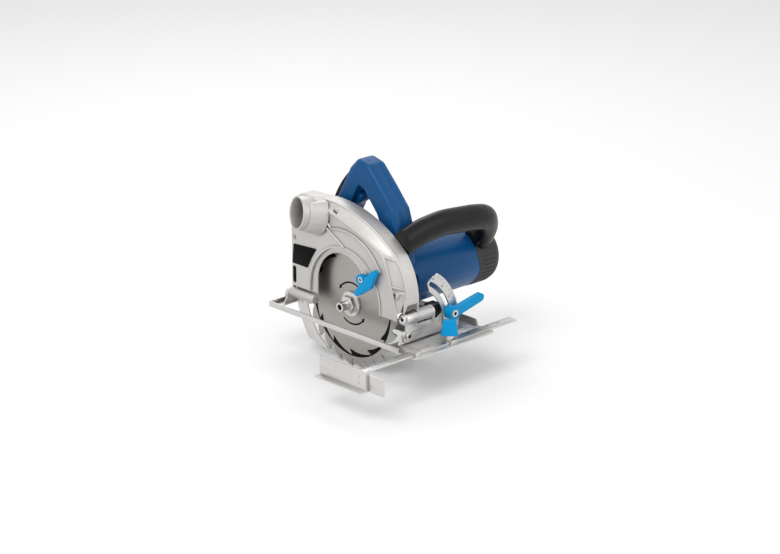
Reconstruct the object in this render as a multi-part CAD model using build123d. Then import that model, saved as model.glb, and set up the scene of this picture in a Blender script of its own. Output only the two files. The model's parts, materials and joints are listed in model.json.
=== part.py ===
from build123d import *
import math
import os

# Hand-held circular saw, millimetres.
# The origin lies on the sole plane, straight under the arbor, in the middle plane of the blade.
# +X points forward along the cut, +Y points from the blade to the motor, +Z points up.

# Clearances and standard fits
run_fit = 0.05
slide_gap = 0.4
part_gap = 0.3
touch_gap = 0.02
thread_gap = 0.05

# Blade and its clamping
blade_d = 190.0
blade_t = 1.6
kerf = 2.4
blade_bore_d = 30.0
tooth_count = 24
gullet_depth = 11.0
rake_depth = 8.5
tip_depth = 7.0
arbor_h = 29.0
flange_d = 37.0
flange_t = 4.0
nut_flats = 24.0
nut_t = 6.5
bolt_head_d = 14.0
bolt_head_l = 14.0
bolt_d = 8.0
bolt_grip = 16.0

# Upper blade guard, measured from the arbor
guard_wall = 3.0
face_wall = 2.5
rim_back_y = 14.0
rim_front_y = -8.0
face_y = -19.0
guard_bottom = 6.0
guard_front_gap = 17.0
guard_rear_gap = 7.0
guard_top_gap = 46.0
face_low_inset = 9.0
face_top_inset = 9.0
face_rear_inset = 1.0
window_x = 4.0
window_z = 15.0
window_cover = 23.0
window_lip_w = 3.0
window_lip_h = 0.9
port_od = 49.0
port_wall = 2.5
port_from_rear = 52.0
port_below_top = 23.0
port_l = 22.0
stub_l = 14.0
port_step = 0.5
fairing_l = 26.0
fairing_r = 31.0
boss_r = 22.4
boss_l = 5.0
rib_h = 1.8
panel_depth = 1.7
screw_boss_r = 6.2
screw_sink = 3.0
screw_l = 5.0

# Lower blade guard
lower_plate_y = -13.5
lower_plate_t = 2.0
lower_gap = 6.0
lower_rim_t = 2.5
lower_arch_x = -4.0
lower_arch_z = 25.0
lower_arch_cover = 43.0
lower_end_angle = 38.0
lower_rim_angle = 80.0
lower_tail_z = -4.0
lip_r = 6.5
lip_y = -19.5
hub_t = 3.4
hub_ring = 7.0
lever_inset = 31.5
lever_angle = 49.7
lever_neck_r = 5.0
lever_hub_r = 8.0
lever_hub_l = 7.0

# Gear train, two stages with straight teeth
module_1 = 1.25
pinion_teeth = 10
wheel_teeth = 30
module_2 = 1.5
second_teeth = 12
driven_teeth = 28
pressure_angle = 25.0
backlash = 0.16
motor_dx = 35.0
motor_dz = 36.0
stage_1_y = 20.0
stage_1_t = 8.0
stage_2_y = 30.0
stage_2_t = 11.0
spindle_r = 7.5
journal_r = 4.0
bush_wall = 2.5
bush_l = 4.6

# Gear case and motor
case_wall = 2.4
case_back_y = 52.0
housing_d = 86.0
housing_wall = 3.0
front_boss_r = 11.0
front_boss_l = 46.0
housing_y0 = 15.0
housing_y1 = 188.0
cap_y1 = 229.0
vent_from = 36.0
vent_w = 5.0
cap_round = 14.0
shaft_r = 5.0
core_d = 44.0
core_y0 = 82.0
core_y1 = 138.0
air_gap = 0.6
comm_d = 26.0
comm_y0 = 150.0
comm_y1 = 166.0
fan_d = 72.0
fan_y0 = 60.0
fan_t = 10.0
fan_blades = 10
brush_w = 6.0
brush_l = 12.0

# Bearings: bore radius, outer radius, width
front_bearing = (7.5, 17.5, 11.0)
rear_bearing = (4.0, 11.0, 7.0)
motor_bearing = (5.0, 13.0, 8.0)

# Handles
handle_y0 = 22.0
handle_y1 = 58.0
handle_wall = 3.0
grip_t = 3.6
grip_bulge = 5.0
grip_inset = 5.0
trigger_l = 44.0
trigger_w = 18.0
trigger_out = 9.0
trigger_in = 5.0
trigger_travel = 5.0
button_r = 5.0
bow_w = 30.0
bow_h = 38.0
handle_round = 10.0
handle_edge = 8.0
handle_boss_r = 5.0
screw_r = 2.0
screw_head_r = 3.6
screw_head_l = 2.6
switch_t = 6.5
button_out = 4.0
lock_travel = 3.0
lock_l = 18.0
lever_big_r = 10.0
lever_big_l = 13.0
lever_arm = 54.0
lever_lift = 11.5

# Base, edge guide and adjusters
sheet = 2.0
base_rear_l = 9.0
base_front_l = 56.0
base_right_y = -41.0
base_left_y = 117.0
rail_front_l = 22.0
rail_h = 8.0
left_h = 11.0
sole_rear_l = 5.0
sole_front_l = 9.0
slot_right_y = -34.0
slot_left_y = 24.0
bevel_y = -6.0
bevel_z = 13.0
bevel_pin_r = 3.0
bevel_max = 45.0
bevel_head_r = 6.0
tab_rear_gap = 5.5
tab_t = 2.5
bracket_t = 3.0
quadrant_t = 2.5
clamp_r = 79.0
clamp_angle = 13.4
clamp_nut_r = 5.0
cover_gap = 5.05
clamp_screw_r = 3.0
quadrant_inner_band = 11.0
quadrant_scale_band = 18.0
slot_rim = 2.6
depth_back = 3.0
depth_z = 37.0
depth_max = 36.0
barrel_r = 9.0
depth_pin_r = 4.0
pin_head_l = 3.0
pin_nut_r = 6.0
barrel_y0 = -10.0
barrel_mid_y = 11.6
barrel_y1 = 40.0
ear_t = 3.5
arc_y0 = 16.0
arc_t = 3.0
arc_w = 16.0
arc_clamp_x = -49.0
arc_clamp_z = 57.0
bar_w = 15.0
bar_t = 3.0
bar_front_l = 15.0
bar_y0 = -133.0
bar_y1 = 169.0
strap_w = 12.0
strap_t = 2.0
strap_y = (-30.0, 40.0)
fence_rear_l = 77.5
fence_l = 121.0
fence_h = 30.0
fence_t = 2.0
fence_foot = 10.0
fence_step = 5.7
fence_step_x = 14.5
fence_drop = 5.0
fence_top = 8.0
wing_screw_r = 3.0
wing_boss_r = 6.0
wing_boss_l = 5.0
wing_w = 24.0
wing_h = 22.0
knife_t = 2.0
knife_gap = 3.0
knife_w = 21.5
knife_tip_angle = 240.0
knife_taper = 20.0
knife_root_angle = 179.0

# Values that follow from the sizes above
blade_r = blade_d / 2
window_r = blade_r - window_cover
lower_arch_r = blade_r - lower_arch_cover
port_id = port_od - 2 * port_wall
quadrant_in = clamp_r - quadrant_inner_band
quadrant_out = clamp_r + quadrant_scale_band
blade_face = blade_t / 2
arbor = (0.0, arbor_h)
lower_r = blade_r + lower_gap
lever_radius = lower_r - lever_inset
knife_in = blade_r + knife_gap
knife_out = knife_in + knife_w
rim_front_x = lower_r + guard_front_gap
rim_rear_x = -lower_r - guard_rear_gap
rim_top_z = lower_r + guard_top_gap
depth_x = rim_front_x - depth_back
tab_front_x = depth_x
tab_rear_x = -knife_out - tab_rear_gap
base_rear_x = tab_rear_x - base_rear_l
base_front_x = tab_front_x + base_front_l
rail_front_x = tab_front_x + rail_front_l
window_rear_x = tab_rear_x + sole_rear_l
window_front_x = tab_front_x - sole_front_l
bar_x = base_front_x - bar_front_l
fence_x0 = bar_x - fence_rear_l
motor = (motor_dx, arbor_h + motor_dz)
pitch_1 = module_1 * (pinion_teeth + wheel_teeth) / 2
pitch_2 = module_2 * (second_teeth + driven_teeth) / 2
motor_reach = math.hypot(motor_dx, motor_dz)
motor_angle = math.degrees(math.atan2(motor_dz, motor_dx))
lay_cos = (pitch_2 ** 2 + motor_reach ** 2 - pitch_1 ** 2) / (2 * pitch_2 * motor_reach)
lay_angle = motor_angle + math.degrees(math.acos(lay_cos))
lay = (pitch_2 * math.cos(math.radians(lay_angle)), arbor_h + pitch_2 * math.sin(math.radians(lay_angle)))
back_wall_y = rim_back_y - guard_wall
boss_y = back_wall_y - boss_l
front_bearing_y = boss_y + 1.5
rear_bearing_y = stage_2_y + stage_2_t + 2.0
spindle_end_y = rear_bearing_y + rear_bearing[2]
housing_r = housing_d / 2
housing_bore_r = housing_r - housing_wall
motor_bearing_y = case_back_y - 4.0
bevel_bracket_x = tab_front_x + tab_t + part_gap
quadrant_x = bevel_bracket_x + bracket_t + part_gap
clamp_y = bevel_y + clamp_r * math.cos(math.radians(clamp_angle))
clamp_z = bevel_z + clamp_r * math.sin(math.radians(clamp_angle))
handle_mid_y = (handle_y0 + handle_y1) / 2
lever_x = lever_radius * math.cos(math.radians(lever_angle))
lever_z = arbor_h + lever_radius * math.sin(math.radians(lever_angle))
lower_out_y = lower_plate_y - lower_plate_t


def block(x0, x1, y0, y1, z0, z1):
    return Pos((x0 + x1) / 2, (y0 + y1) / 2, (z0 + z1) / 2) * Box(x1 - x0, y1 - y0, z1 - z0)


def rod_y(r, y0, y1, at):
    return Pos(at[0], (y0 + y1) / 2, at[1]) * Rot(90, 0, 0) * Cylinder(r, y1 - y0)


def rod_x(r, x0, x1, y, z):
    return Pos((x0 + x1) / 2, y, z) * Rot(0, 90, 0) * Cylinder(r, x1 - x0)


def rod_z(r, z0, z1, x, y):
    return Pos(x, y, (z0 + z1) / 2) * Cylinder(r, z1 - z0)


def ring_y(r_in, r_out, y0, y1, at):
    return rod_y(r_out, y0, y1, at) - rod_y(r_in, y0 - 1, y1 + 1, at)


def side_plate(sketch, y0, y1):
    return extrude(Plane.XZ.offset(-y1) * sketch, amount=y1 - y0)


def cross_plate(sketch, x0, x1):
    return extrude(Plane.YZ.offset(x0) * sketch, amount=x1 - x0)


def polygon(points):
    return make_face(Polyline(*points, close=True))


def polar(r, degrees, centre=(0.0, 0.0)):
    a = math.radians(degrees)
    return (centre[0] + r * math.cos(a), centre[1] + r * math.sin(a))


def sector(r_in, r_out, a0, a1, centre):
    mid = (a0 + a1) / 2
    outer = ThreePointArc(polar(r_out, a0, centre), polar(r_out, mid, centre), polar(r_out, a1, centre))
    inner = ThreePointArc(polar(r_in, a1, centre), polar(r_in, mid, centre), polar(r_in, a0, centre))
    end_1 = Line(outer @ 1, inner @ 0)
    end_0 = Line(inner @ 1, outer @ 0)
    return make_face([outer, end_1, inner, end_0])


def hull_of(circles):
    edges = []
    for x, z, r in circles:
        edges += (Pos(x, z) * Circle(r)).edges()
    return make_hull(edges)


def socket_screw(r, head_r, head_l, shank_l):
    head = Pos(0, 0, head_l / 2) * Cylinder(head_r, head_l)
    shank = Pos(0, 0, -shank_l / 2) * Cylinder(r, shank_l)
    recess = Pos(0, 0, head_l) * extrude(RegularPolygon(head_r * 0.5, 6), amount=-head_l * 0.6)
    return head + shank - recess


def gear_face(module, teeth, phase):
    pitch_r = module * teeth / 2
    angle = math.radians(pressure_angle)
    base_r = pitch_r * math.cos(angle)
    tip_r = pitch_r + 0.85 * module
    root_r = pitch_r - 1.15 * module
    half = math.pi / (2 * teeth) - backlash / (2 * pitch_r) + math.tan(angle) - angle
    start_r = max(base_r, root_r + 0.05)
    steps = 4
    points = []
    for k in range(teeth):
        middle = math.radians(phase) + 2 * math.pi * k / teeth
        flank = []
        for i in range(steps + 1):
            r = start_r + (tip_r - start_r) * i / steps
            roll = math.acos(min(1.0, base_r / r))
            flank.append((r, half - (math.tan(roll) - roll)))
        rise = [(root_r, flank[0][1])] + flank
        for r, a in rise:
            points.append((r * math.cos(middle - a), r * math.sin(middle - a)))
        for r, a in reversed(rise):
            points.append((r * math.cos(middle + a), r * math.sin(middle + a)))
    return polygon(points)


def gear(module, teeth, phase, y0, y1, at):
    return side_plate(Pos(*at) * gear_face(module, teeth, phase), y0, y1)


# Blade group on the spindle
def blade():
    pitch = 360.0 / tooth_count
    root_r = blade_r - gullet_depth
    points = []
    for k in range(tooth_count):
        a = k * pitch
        points.append(polar(blade_r, a))
        points.append(polar(blade_r - rake_depth, a - 0.03 * pitch))
        points.append(polar(root_r, a + 0.05 * pitch))
        points.append(polar(root_r + 0.8, a + 0.15 * pitch))
        points.append(polar(blade_r - 0.62 * gullet_depth, a + 0.3 * pitch))
        points.append(polar(blade_r - 0.22 * gullet_depth, a + 0.66 * pitch))
    plate = Pos(*arbor) * (polygon(points) - Circle(blade_bore_d / 2))
    solid = side_plate(plate, -blade_face, blade_face)
    tip_low = blade_r - tip_depth
    tip = polygon([polar(blade_r, 0), polar(tip_low, -0.4), polar(tip_low, -2.0), polar(blade_r - 1.0, -2.4)])
    for k in range(tooth_count):
        solid += side_plate(Pos(*arbor) * Rot(0, 0, k * pitch) * tip, -kerf / 2, kerf / 2)
    return solid


def inner_flange():
    back = blade_face + flange_t
    body = rod_y(flange_d / 2, blade_face, back, arbor)
    body += rod_y(blade_bore_d / 2 - run_fit, -blade_face + 0.1, blade_face, arbor)
    return body - rod_y(spindle_r + run_fit, -10, 20, arbor)


def outer_flange():
    front = -blade_face - flange_t
    body = rod_y(flange_d / 2, front, -blade_face, arbor)
    hexagon = Pos(*arbor) * RegularPolygon(nut_flats / 2, 6, major_radius=False)
    body += side_plate(hexagon, front - nut_t, front)
    return body - rod_y(bolt_d / 2 + run_fit, -30, 10, arbor)


def arbor_bolt():
    seat = -blade_face - flange_t - nut_t
    body = rod_y(bolt_head_d / 2, seat - bolt_head_l, seat, arbor)
    body += rod_y(bolt_d / 2, seat, seat + flange_t + nut_t + bolt_grip, arbor)
    socket = Pos(*arbor) * RegularPolygon(4.0, 6, major_radius=False)
    return body - side_plate(socket, seat - bolt_head_l - 1, seat - bolt_head_l * 0.45)


def spindle():
    front = -blade_face + 0.3
    gear_seat_r = spindle_r - 1.0
    body = rod_y(spindle_r, front, stage_2_y - 0.5, arbor)
    body += rod_y(gear_seat_r, stage_2_y - 0.5, rear_bearing_y - 0.5, arbor)
    body += rod_y(journal_r - touch_gap, rear_bearing_y - 0.5, spindle_end_y, arbor)
    bolt_end = -blade_face + bolt_grip
    return body - rod_y(bolt_d / 2 + thread_gap, front - 5, bolt_end + 1.0, arbor)


def driven_gear():
    phase = lay_angle + 180.0 / driven_teeth
    body = gear(module_2, driven_teeth, phase, stage_2_y, stage_2_y + stage_2_t, arbor)
    return body - rod_y(spindle_r - 1.0 + touch_gap, 0, 90, arbor)


# Intermediate shaft with its wheel and small gear
def layshaft():
    to_motor = math.degrees(math.atan2(motor[1] - lay[1], motor[0] - lay[0]))
    body = rod_y(journal_r - run_fit, stage_1_y - bush_l - 0.5, case_back_y - 4.0, lay)
    body += gear(module_1, wheel_teeth, to_motor, stage_1_y, stage_1_y + stage_1_t, lay)
    second_y0 = stage_1_y + stage_1_t
    body += gear(module_2, second_teeth, lay_angle + 180.0, second_y0, stage_2_y + stage_2_t + 0.5, lay)
    return body


# Armature group
def armature_shaft():
    to_lay = math.degrees(math.atan2(lay[1] - motor[1], lay[0] - motor[0]))
    root_r = module_1 * pinion_teeth / 2 - 1.15 * module_1
    body = rod_y(root_r - 1.2, stage_1_y - bush_l - 0.5, stage_1_y, motor)
    body += gear(module_1, pinion_teeth, to_lay + 180.0 / pinion_teeth, stage_1_y - 0.5,
                 stage_1_y + stage_1_t + 0.5, motor)
    body += rod_y(root_r, stage_1_y, motor_bearing_y, motor)
    body += rod_y(shaft_r - touch_gap, motor_bearing_y - 2.0, comm_y1 + 8.0, motor)
    body += rod_y(journal_r - touch_gap, comm_y1 + 8.0, comm_y1 + 18.0, motor)
    return body


def armature_core():
    slots = 12
    face = Circle(core_d / 2) - Circle(shaft_r)
    for k in range(slots):
        mouth = Rot(0, 0, k * 360.0 / slots) * Pos(core_d / 2 - 2.0, 0) * Rectangle(6.0, 2.4)
        pocket = Rot(0, 0, k * 360.0 / slots) * Pos(core_d / 2 - 6.5, 0) * Circle(2.6)
        face -= mouth
        face -= pocket
    return side_plate(Pos(*motor) * face, core_y0, core_y1)


def commutator():
    bars = 24
    face = Circle(comm_d / 2) - Circle(shaft_r)
    for k in range(bars):
        face -= Rot(0, 0, k * 360.0 / bars) * Pos(comm_d / 2, 0) * Rectangle(2.4, 0.6)
    return side_plate(Pos(*motor) * face, comm_y0, comm_y1)


def fan():
    hub_r = 14.0
    disc = ring_y(shaft_r, fan_d / 2, fan_y0, fan_y0 + 2.0, motor)
    disc += ring_y(shaft_r, hub_r, fan_y0 + 2.0, fan_y0 + fan_t, motor)
    vane = Pos((hub_r + fan_d / 2) / 2 - 1.0, 0) * Rectangle(fan_d / 2 - hub_r, 1.6)
    for k in range(fan_blades):
        turned = Pos(*motor) * Rot(0, 0, k * 360.0 / fan_blades) * vane
        disc += side_plate(turned, fan_y0 + 2.0, fan_y0 + fan_t)
    return disc


def bearing(size, y0, at):
    bore_r, out_r, width = size
    inner_r = bore_r + (out_r - bore_r) * 0.3
    outer_r = out_r - (out_r - bore_r) * 0.3
    body = ring_y(bore_r, out_r, y0, y0 + width, at)
    groove = ring_y(inner_r, outer_r, y0 - 1, y0 + 0.8, at)
    groove += ring_y(inner_r, outer_r, y0 + width - 0.8, y0 + width + 1, at)
    return body - groove


def front_spindle_bearing():
    return bearing((front_bearing[0] + run_fit, front_bearing[1], front_bearing[2]), front_bearing_y, arbor)


def front_motor_bearing():
    return bearing((motor_bearing[0] + run_fit, motor_bearing[1], motor_bearing[2]), motor_bearing_y, motor)


def small_bearings():
    size = (rear_bearing[0] + run_fit, rear_bearing[1], rear_bearing[2])
    places = [(rear_bearing_y, arbor), (comm_y1 + 10.0, motor)]
    return Compound(children=[bearing(size, y, at) for y, at in places])


def pinion_nose_r():
    return module_1 * pinion_teeth / 2 - 1.15 * module_1 - 1.2


def gear_bushes():
    y0 = stage_1_y - bush_l - 0.7
    nose_r = pinion_nose_r()
    first = ring_y(journal_r, journal_r + bush_wall, y0, y0 + bush_l, lay)
    second = ring_y(nose_r + run_fit, nose_r + bush_wall, y0, y0 + bush_l, motor)
    third = ring_y(journal_r, journal_r + bush_wall, case_back_y - 4.0 - bush_l, case_back_y - 4.0, lay)
    return Compound(children=[first, second, third])


# Fixed motor pieces
def stator_core():
    bore_r = core_d / 2 + air_gap
    face = Circle(housing_bore_r - touch_gap) - Circle(bore_r)
    for side in (0, 180):
        window = sector(bore_r + 4.0, bore_r + 12.0, side - 38, side + 38, (0, 0))
        mouth = sector(bore_r - 1.0, bore_r + 5.0, side - 10, side + 10, (0, 0))
        face -= window
        face -= mouth
    return side_plate(Pos(*motor) * face, core_y0, core_y1)


def field_coils():
    bore_r = core_d / 2 + air_gap
    coils = []
    for side in (90, 270):
        for y0, y1 in ((core_y0 - 9.0, core_y0), (core_y1, core_y1 + 9.0)):
            turn = sector(bore_r + 3.0, bore_r + 13.0, side - 62, side + 62, motor)
            coils.append(side_plate(turn, y0, y1))
    return Compound(children=coils)


def brushes():
    y0 = (comm_y0 + comm_y1 - brush_w) / 2
    start = comm_d / 2 + run_fit
    made = []
    for side in (-1, 1):
        x0, x1 = sorted((motor[0] + side * start, motor[0] + side * (start + brush_l)))
        made.append(block(x0, x1, y0, y0 + brush_w, motor[1] - brush_w / 2, motor[1] + brush_w / 2))
    return Compound(children=made)


def brush_holders():
    y0 = (comm_y0 + comm_y1 - brush_w) / 2
    wall = 2.0
    start = comm_d / 2 + 2.0
    made = []
    for side in (-1, 1):
        x0, x1 = sorted((motor[0] + side * start, motor[0] + side * (housing_bore_r - 0.6)))
        reach = brush_w / 2 + wall
        sleeve = block(x0, x1, y0 - wall, y0 + brush_w + wall, motor[1] - reach, motor[1] + reach)
        hole = brush_w / 2 + touch_gap
        hole_y1 = y0 + brush_w + touch_gap
        sleeve -= block(x0 - 1, x1 + 1, y0 - touch_gap, hole_y1, motor[1] - hole, motor[1] + hole)
        made.append(sleeve)
    return Compound(children=made)


# Gear case behind the upper guard
def case_circles(extra):
    wheel_r = module_1 * wheel_teeth / 2 + module_1
    driven_r = module_2 * driven_teeth / 2 + module_2
    return [
        (arbor[0], arbor[1], driven_r + 0.6 + extra),
        (lay[0], lay[1], wheel_r + 0.8 + extra),
        (motor[0], motor[1], motor_bearing[1] + extra),
    ]


def gear_case():
    body = side_plate(hull_of(case_circles(case_wall)), rim_back_y, case_back_y)
    cavity_back = rear_bearing_y - 1.0
    body -= side_plate(hull_of(case_circles(0.0)), rim_back_y - 1, cavity_back)
    body -= rod_y(rear_bearing[1], cavity_back - 1, spindle_end_y + 0.3, arbor)
    body -= rod_y(journal_r + bush_wall, cavity_back - 1, case_back_y - 4.0, lay)
    body -= rod_y(motor_bearing[1], motor_bearing_y, case_back_y + 9, motor)
    body -= rod_y(motor_bearing[1] - 3.0, cavity_back - 1, case_back_y + 1, motor)
    body -= rod_x(button_r - 1.0 + run_fit, -60, -10, stage_2_y + stage_2_t / 2, arbor_h)
    return body


def motor_seat():
    back = motor_bearing_y + motor_bearing[2]
    ring = ring_y(motor_bearing[1], housing_bore_r - touch_gap, case_back_y, back, motor)
    for k in range(8):
        vent = polar(28.0, 22.5 + 45.0 * k, motor)
        ring -= rod_y(5.0, case_back_y - 1, case_back_y + 20, vent)
    return ring


# Housing with its cap
def motor_housing():
    body = rod_y(housing_r, housing_y0, housing_y1, motor)
    body += rod_y(front_boss_r, housing_y0, housing_y0 + front_boss_l, polar(housing_r - 4.0, -36.0, motor))
    body -= rod_y(housing_bore_r, housing_y0 - 1, housing_y1 - 10.0, motor)
    cover = hull_of(case_circles(case_wall + part_gap))
    body -= side_plate(cover, housing_y0 - 1, case_back_y + part_gap)
    body -= rod_y(rear_bearing[1], comm_y1, comm_y1 + 10.0 + rear_bearing[2], motor)
    body -= rod_y(journal_r + 1.5, comm_y1, comm_y1 + 30.0, motor)
    bridge = ring_y(rear_bearing[1], housing_bore_r + 1.0, comm_y1 + 9.0, housing_y1 - 9.0, motor)
    body += bridge
    for k in range(6):
        port = polar(28.0, 60.0 * k, motor)
        body -= rod_y(6.0, comm_y1, housing_y1 + 1, port)
    for low, high in ((-42, -20), (-5, 18), (34, 57)):
        slot = sector(housing_bore_r - 2, housing_r + 2, low, high, motor)
        body -= side_plate(slot, housing_y0 + vent_from, housing_y0 + vent_from + vent_w)
    return body


def end_cap():
    body = rod_y(housing_r, housing_y1, cap_y1, motor)
    rim = body.faces().sort_by(Axis.Y)[-1].edges()
    body = fillet(rim, cap_round)
    inner = rod_y(housing_bore_r, housing_y1 - 1, cap_y1 - housing_wall, motor)
    inner = fillet(inner.faces().sort_by(Axis.Y)[-1].edges(), cap_round - housing_wall)
    body -= inner
    for k in range(-3, 4):
        z = motor[1] + k * 9.0
        body -= block(motor[0] - 60, motor[0] + 60, cap_y1 - 8.0, cap_y1 + 1, z - 1.2, z + 1.2) - rod_y(
            housing_r - 6.0, 0, cap_y1 - 1.2, motor)
    return body


def cable_gland():
    x = motor[0] - housing_r
    y = housing_y1 - 30.0
    body = rod_x(9.0, x - 14.0, x + 0.5, y, motor[1])
    body += rod_x(11.0, x - 4.0, x - 0.5, y, motor[1])
    body -= rod_x(3.6, x - 20, x + 5, y, motor[1])
    return body - rod_y(housing_r + touch_gap, 0, cap_y1, motor)


# Upper blade guard
def rim_points(bottom):
    front, rear, top = rim_front_x, rim_rear_x, rim_top_z
    return [(front, bottom), (front + 1.0, top - 95.0), (front - 21.0, top - 52.0),
            (front - 63.0, top - 23.0), (rear + 63.0, top), (rear + 14.0, top - 2.0),
            (rear + 4.0, top - 7.0), (rear, top - 19.0), (rear, bottom)]


def face_points(bottom):
    front = rim_front_x - face_low_inset
    rear = rim_rear_x + face_rear_inset
    top = rim_top_z - face_top_inset
    return [(front, bottom), (front - 11.0, top - 83.0), (front - 29.0, top - 40.0),
            (front - 79.0, top - 19.0), (rear + 67.0, top), (rear + 15.0, top - 2.0),
            (rear + 4.0, top - 6.0), (rear, top - 16.0), (rear, bottom)]


def guard_wire(points, inset):
    p = []
    for x, z in points[1:-1]:
        k = 1.0 - inset / math.hypot(x, z)
        p.append((x * k, arbor_h + z * k))
    front_low = (points[0][0] - inset, arbor_h + points[0][1])
    rear_low = (points[-1][0] + inset, arbor_h + points[-1][1])
    front = ThreePointArc(front_low, p[0], p[1])
    top = ThreePointArc(p[1], p[2], p[3])
    corner = ThreePointArc(p[4], p[5], p[6])
    return make_face([front, top, Line(p[3], p[4]), corner, Line(p[6], rear_low), Line(rear_low, front_low)])


def guard_shell(inset, back, front, bottom):
    big = guard_wire(rim_points(bottom), inset)
    small = guard_wire(face_points(bottom), inset)
    rim = side_plate(big, rim_front_y, back)
    top = Plane.XZ.offset(-rim_front_y) * big
    face = Plane.XZ.offset(-front) * small
    return rim + loft([top, face], ruled=True)


def arch_face(r, x, z):
    arch = Pos(x, z) * Circle(r)
    low = arbor_h - 60.0
    return arch + polygon([(x - r, low), (x + r, low), (x + r, z), (x - r, z)])


def window_face(extra):
    return arch_face(window_r + extra, window_x, arbor_h + window_z)


def port_place():
    at = Pos(rim_rear_x + port_from_rear, face_y + 8.0, arbor_h + rim_top_z - port_below_top)
    return at * Rot(90, 0, 0) * Rot(-9.6, 0, 0) * Rot(0, -18.2, 0)


def port_fairing(inset, near_r, far_r, length):
    cone = port_place() * Pos(0, 0, length / 2) * Cone(near_r, far_r, length)
    profile = guard_wire(rim_points(guard_bottom), inset)
    return cone & side_plate(profile, face_y - 3 * fairing_l, rim_front_y)


def wall_panels():
    front = rim_front_x
    z = arbor_h
    low = polygon([(front - 8.0, z + 13.0), (front - 2.0, z + 13.0),
                   (front - 1.0, z + 44.0), (front - 16.5, z + 44.0)])
    high = polygon([(front - 18.0, z + 49.0), (front - 1.5, z + 49.0), (front - 5.0, z + 72.0),
                    (front - 15.0, z + 88.0), (front - 33.0, z + 93.0)])
    skin = guard_shell(0.0, rim_back_y, face_y, guard_bottom)
    skin -= guard_shell(panel_depth, rim_back_y + 1, face_y + panel_depth, guard_bottom - 2.0)
    region = side_plate(low + high, face_y - 1, rim_front_y - 0.8)
    return skin & region


def upper_guard():
    body = guard_shell(0.0, rim_back_y, face_y, guard_bottom)
    body -= wall_panels()
    for x, y, z in guard_screw_places():
        body += rod_y(screw_boss_r, y, rim_front_y + 2.0, (x, z))
    place = port_place()
    body += port_fairing(0.0, fairing_r, port_od / 2 + guard_wall / 2, fairing_l)
    body += place * Pos(0, 0, stub_l / 2) * Cylinder(port_od / 2, stub_l)
    body -= guard_shell(guard_wall, back_wall_y, face_y + face_wall, -40.0)
    body -= port_fairing(guard_wall, fairing_r - guard_wall, port_id / 2, stub_l + 4.0)
    body -= place * Pos(0, 0, stub_l / 2) * Cylinder(port_id / 2 + port_step, stub_l + 8.0)
    body -= place * Pos(0, 0, stub_l + port_l / 2) * Cylinder(port_od / 2 + touch_gap, port_l)
    lip = window_face(window_lip_w) & polygon([(-200, arbor_h + guard_bottom), (200, arbor_h + guard_bottom),
                                               (200, 400), (-200, 400)])
    body += side_plate(lip, face_y - window_lip_h, face_y + 0.5)
    body -= side_plate(window_face(0.0), face_y - 2.0, face_y + face_wall + 1.0)
    driven_r = module_2 * driven_teeth / 2 + module_2
    body += rod_y(driven_r + 0.6 + case_wall, back_wall_y, rim_back_y, arbor)
    body += rod_y(boss_r, boss_y, back_wall_y, arbor)
    body -= rod_y(front_bearing[1], front_bearing_y, rim_back_y + 1, arbor)
    body -= rod_y(spindle_r + 2.0, boss_y - 1, rim_back_y, arbor)
    for at, r in ((lay, journal_r + bush_wall), (motor, pinion_nose_r() + bush_wall)):
        body += ring_y(r, r + 2.0, rim_back_y, stage_1_y - 0.8, at)
    body += rod_y(barrel_r, barrel_mid_y + part_gap, barrel_y1, (depth_x, depth_z))
    web = polygon([(depth_x - 24.0, depth_z), (depth_x, depth_z - barrel_r), (depth_x, depth_z + barrel_r),
                   (depth_x - 8.0, depth_z + 24.0), (depth_x - 24.0, depth_z + 24.0)])
    body += side_plate(web, barrel_mid_y + part_gap, rim_back_y)
    body -= rod_y(barrel_r + 0.8, face_y - 1, barrel_mid_y + part_gap, (depth_x, depth_z))
    body -= rod_y(depth_pin_r + run_fit, face_y, 90, (depth_x, depth_z))
    rear_slot = Pos(rim_rear_x + 6.2, arbor_h + 23.5) * SlotOverall(26.0, 7.5, rotation=90)
    body -= side_plate(rear_slot, face_y - 2, face_y + face_wall + 1.0)
    for a, b, w in guard_ribs():
        body += side_plate(rib_face(a, b, w), face_y - rib_h, face_y + 0.5)
    arc_rib = sector(86.0, 89.0, 29, 106, (2.0, arbor_h + 27.0))
    body += side_plate(arc_rib, face_y - rib_h, face_y + 0.5)
    ear_x = rim_rear_x + 40.0
    ear_top = arbor_h + 20.0
    ear = knife_pad() + polygon([(rim_rear_x, arbor_h - 6.0), (ear_x, arbor_h + guard_bottom + 1.0),
                                 (ear_x, ear_top), (rim_rear_x, ear_top)])
    body += side_plate(ear, back_wall_y, rim_back_y)
    for x, z in knife_screw_places():
        body -= rod_y(screw_r + thread_gap, 0, 30, (x, z))
    body -= rod_y(clamp_screw_r + run_fit, 0, 30, (arc_clamp_x, arc_clamp_z))
    for x, y, z in guard_screw_places():
        body -= rod_y(screw_head_r + 0.6, y - 1, y + screw_sink, (x, z))
        body -= rod_y(screw_r + thread_gap, y - 1, y + screw_sink + screw_l, (x, z))
    return body


def dust_port():
    tube = Cylinder(port_od / 2, port_l) - Cylinder(port_id / 2, port_l)
    return port_place() * Pos(0, 0, stub_l + port_l / 2) * tube


def guard_ribs():
    z = arbor_h
    return [((-36.0, z + 113.0), (5.0, z + 88.5), 2.4), ((-40.0, z + 126.0), (-22.0, z + 112.0), 2.4)]


def rib_face(a, b, width):
    length = math.hypot(b[0] - a[0], b[1] - a[1])
    turn = math.degrees(math.atan2(b[1] - a[1], b[0] - a[0]))
    return Pos((a[0] + b[0]) / 2, (a[1] + b[1]) / 2) * Rot(0, 0, turn) * SlotOverall(length, width)


def guard_screw_places():
    top = arbor_h + rim_top_z
    return [(-17.0, face_y + 3.0, top - 12.0), (rim_rear_x + 8.5, face_y, top - 66.5),
            (rim_front_x - 13.5, face_y + 2.0, top - 104.5)]


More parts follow.
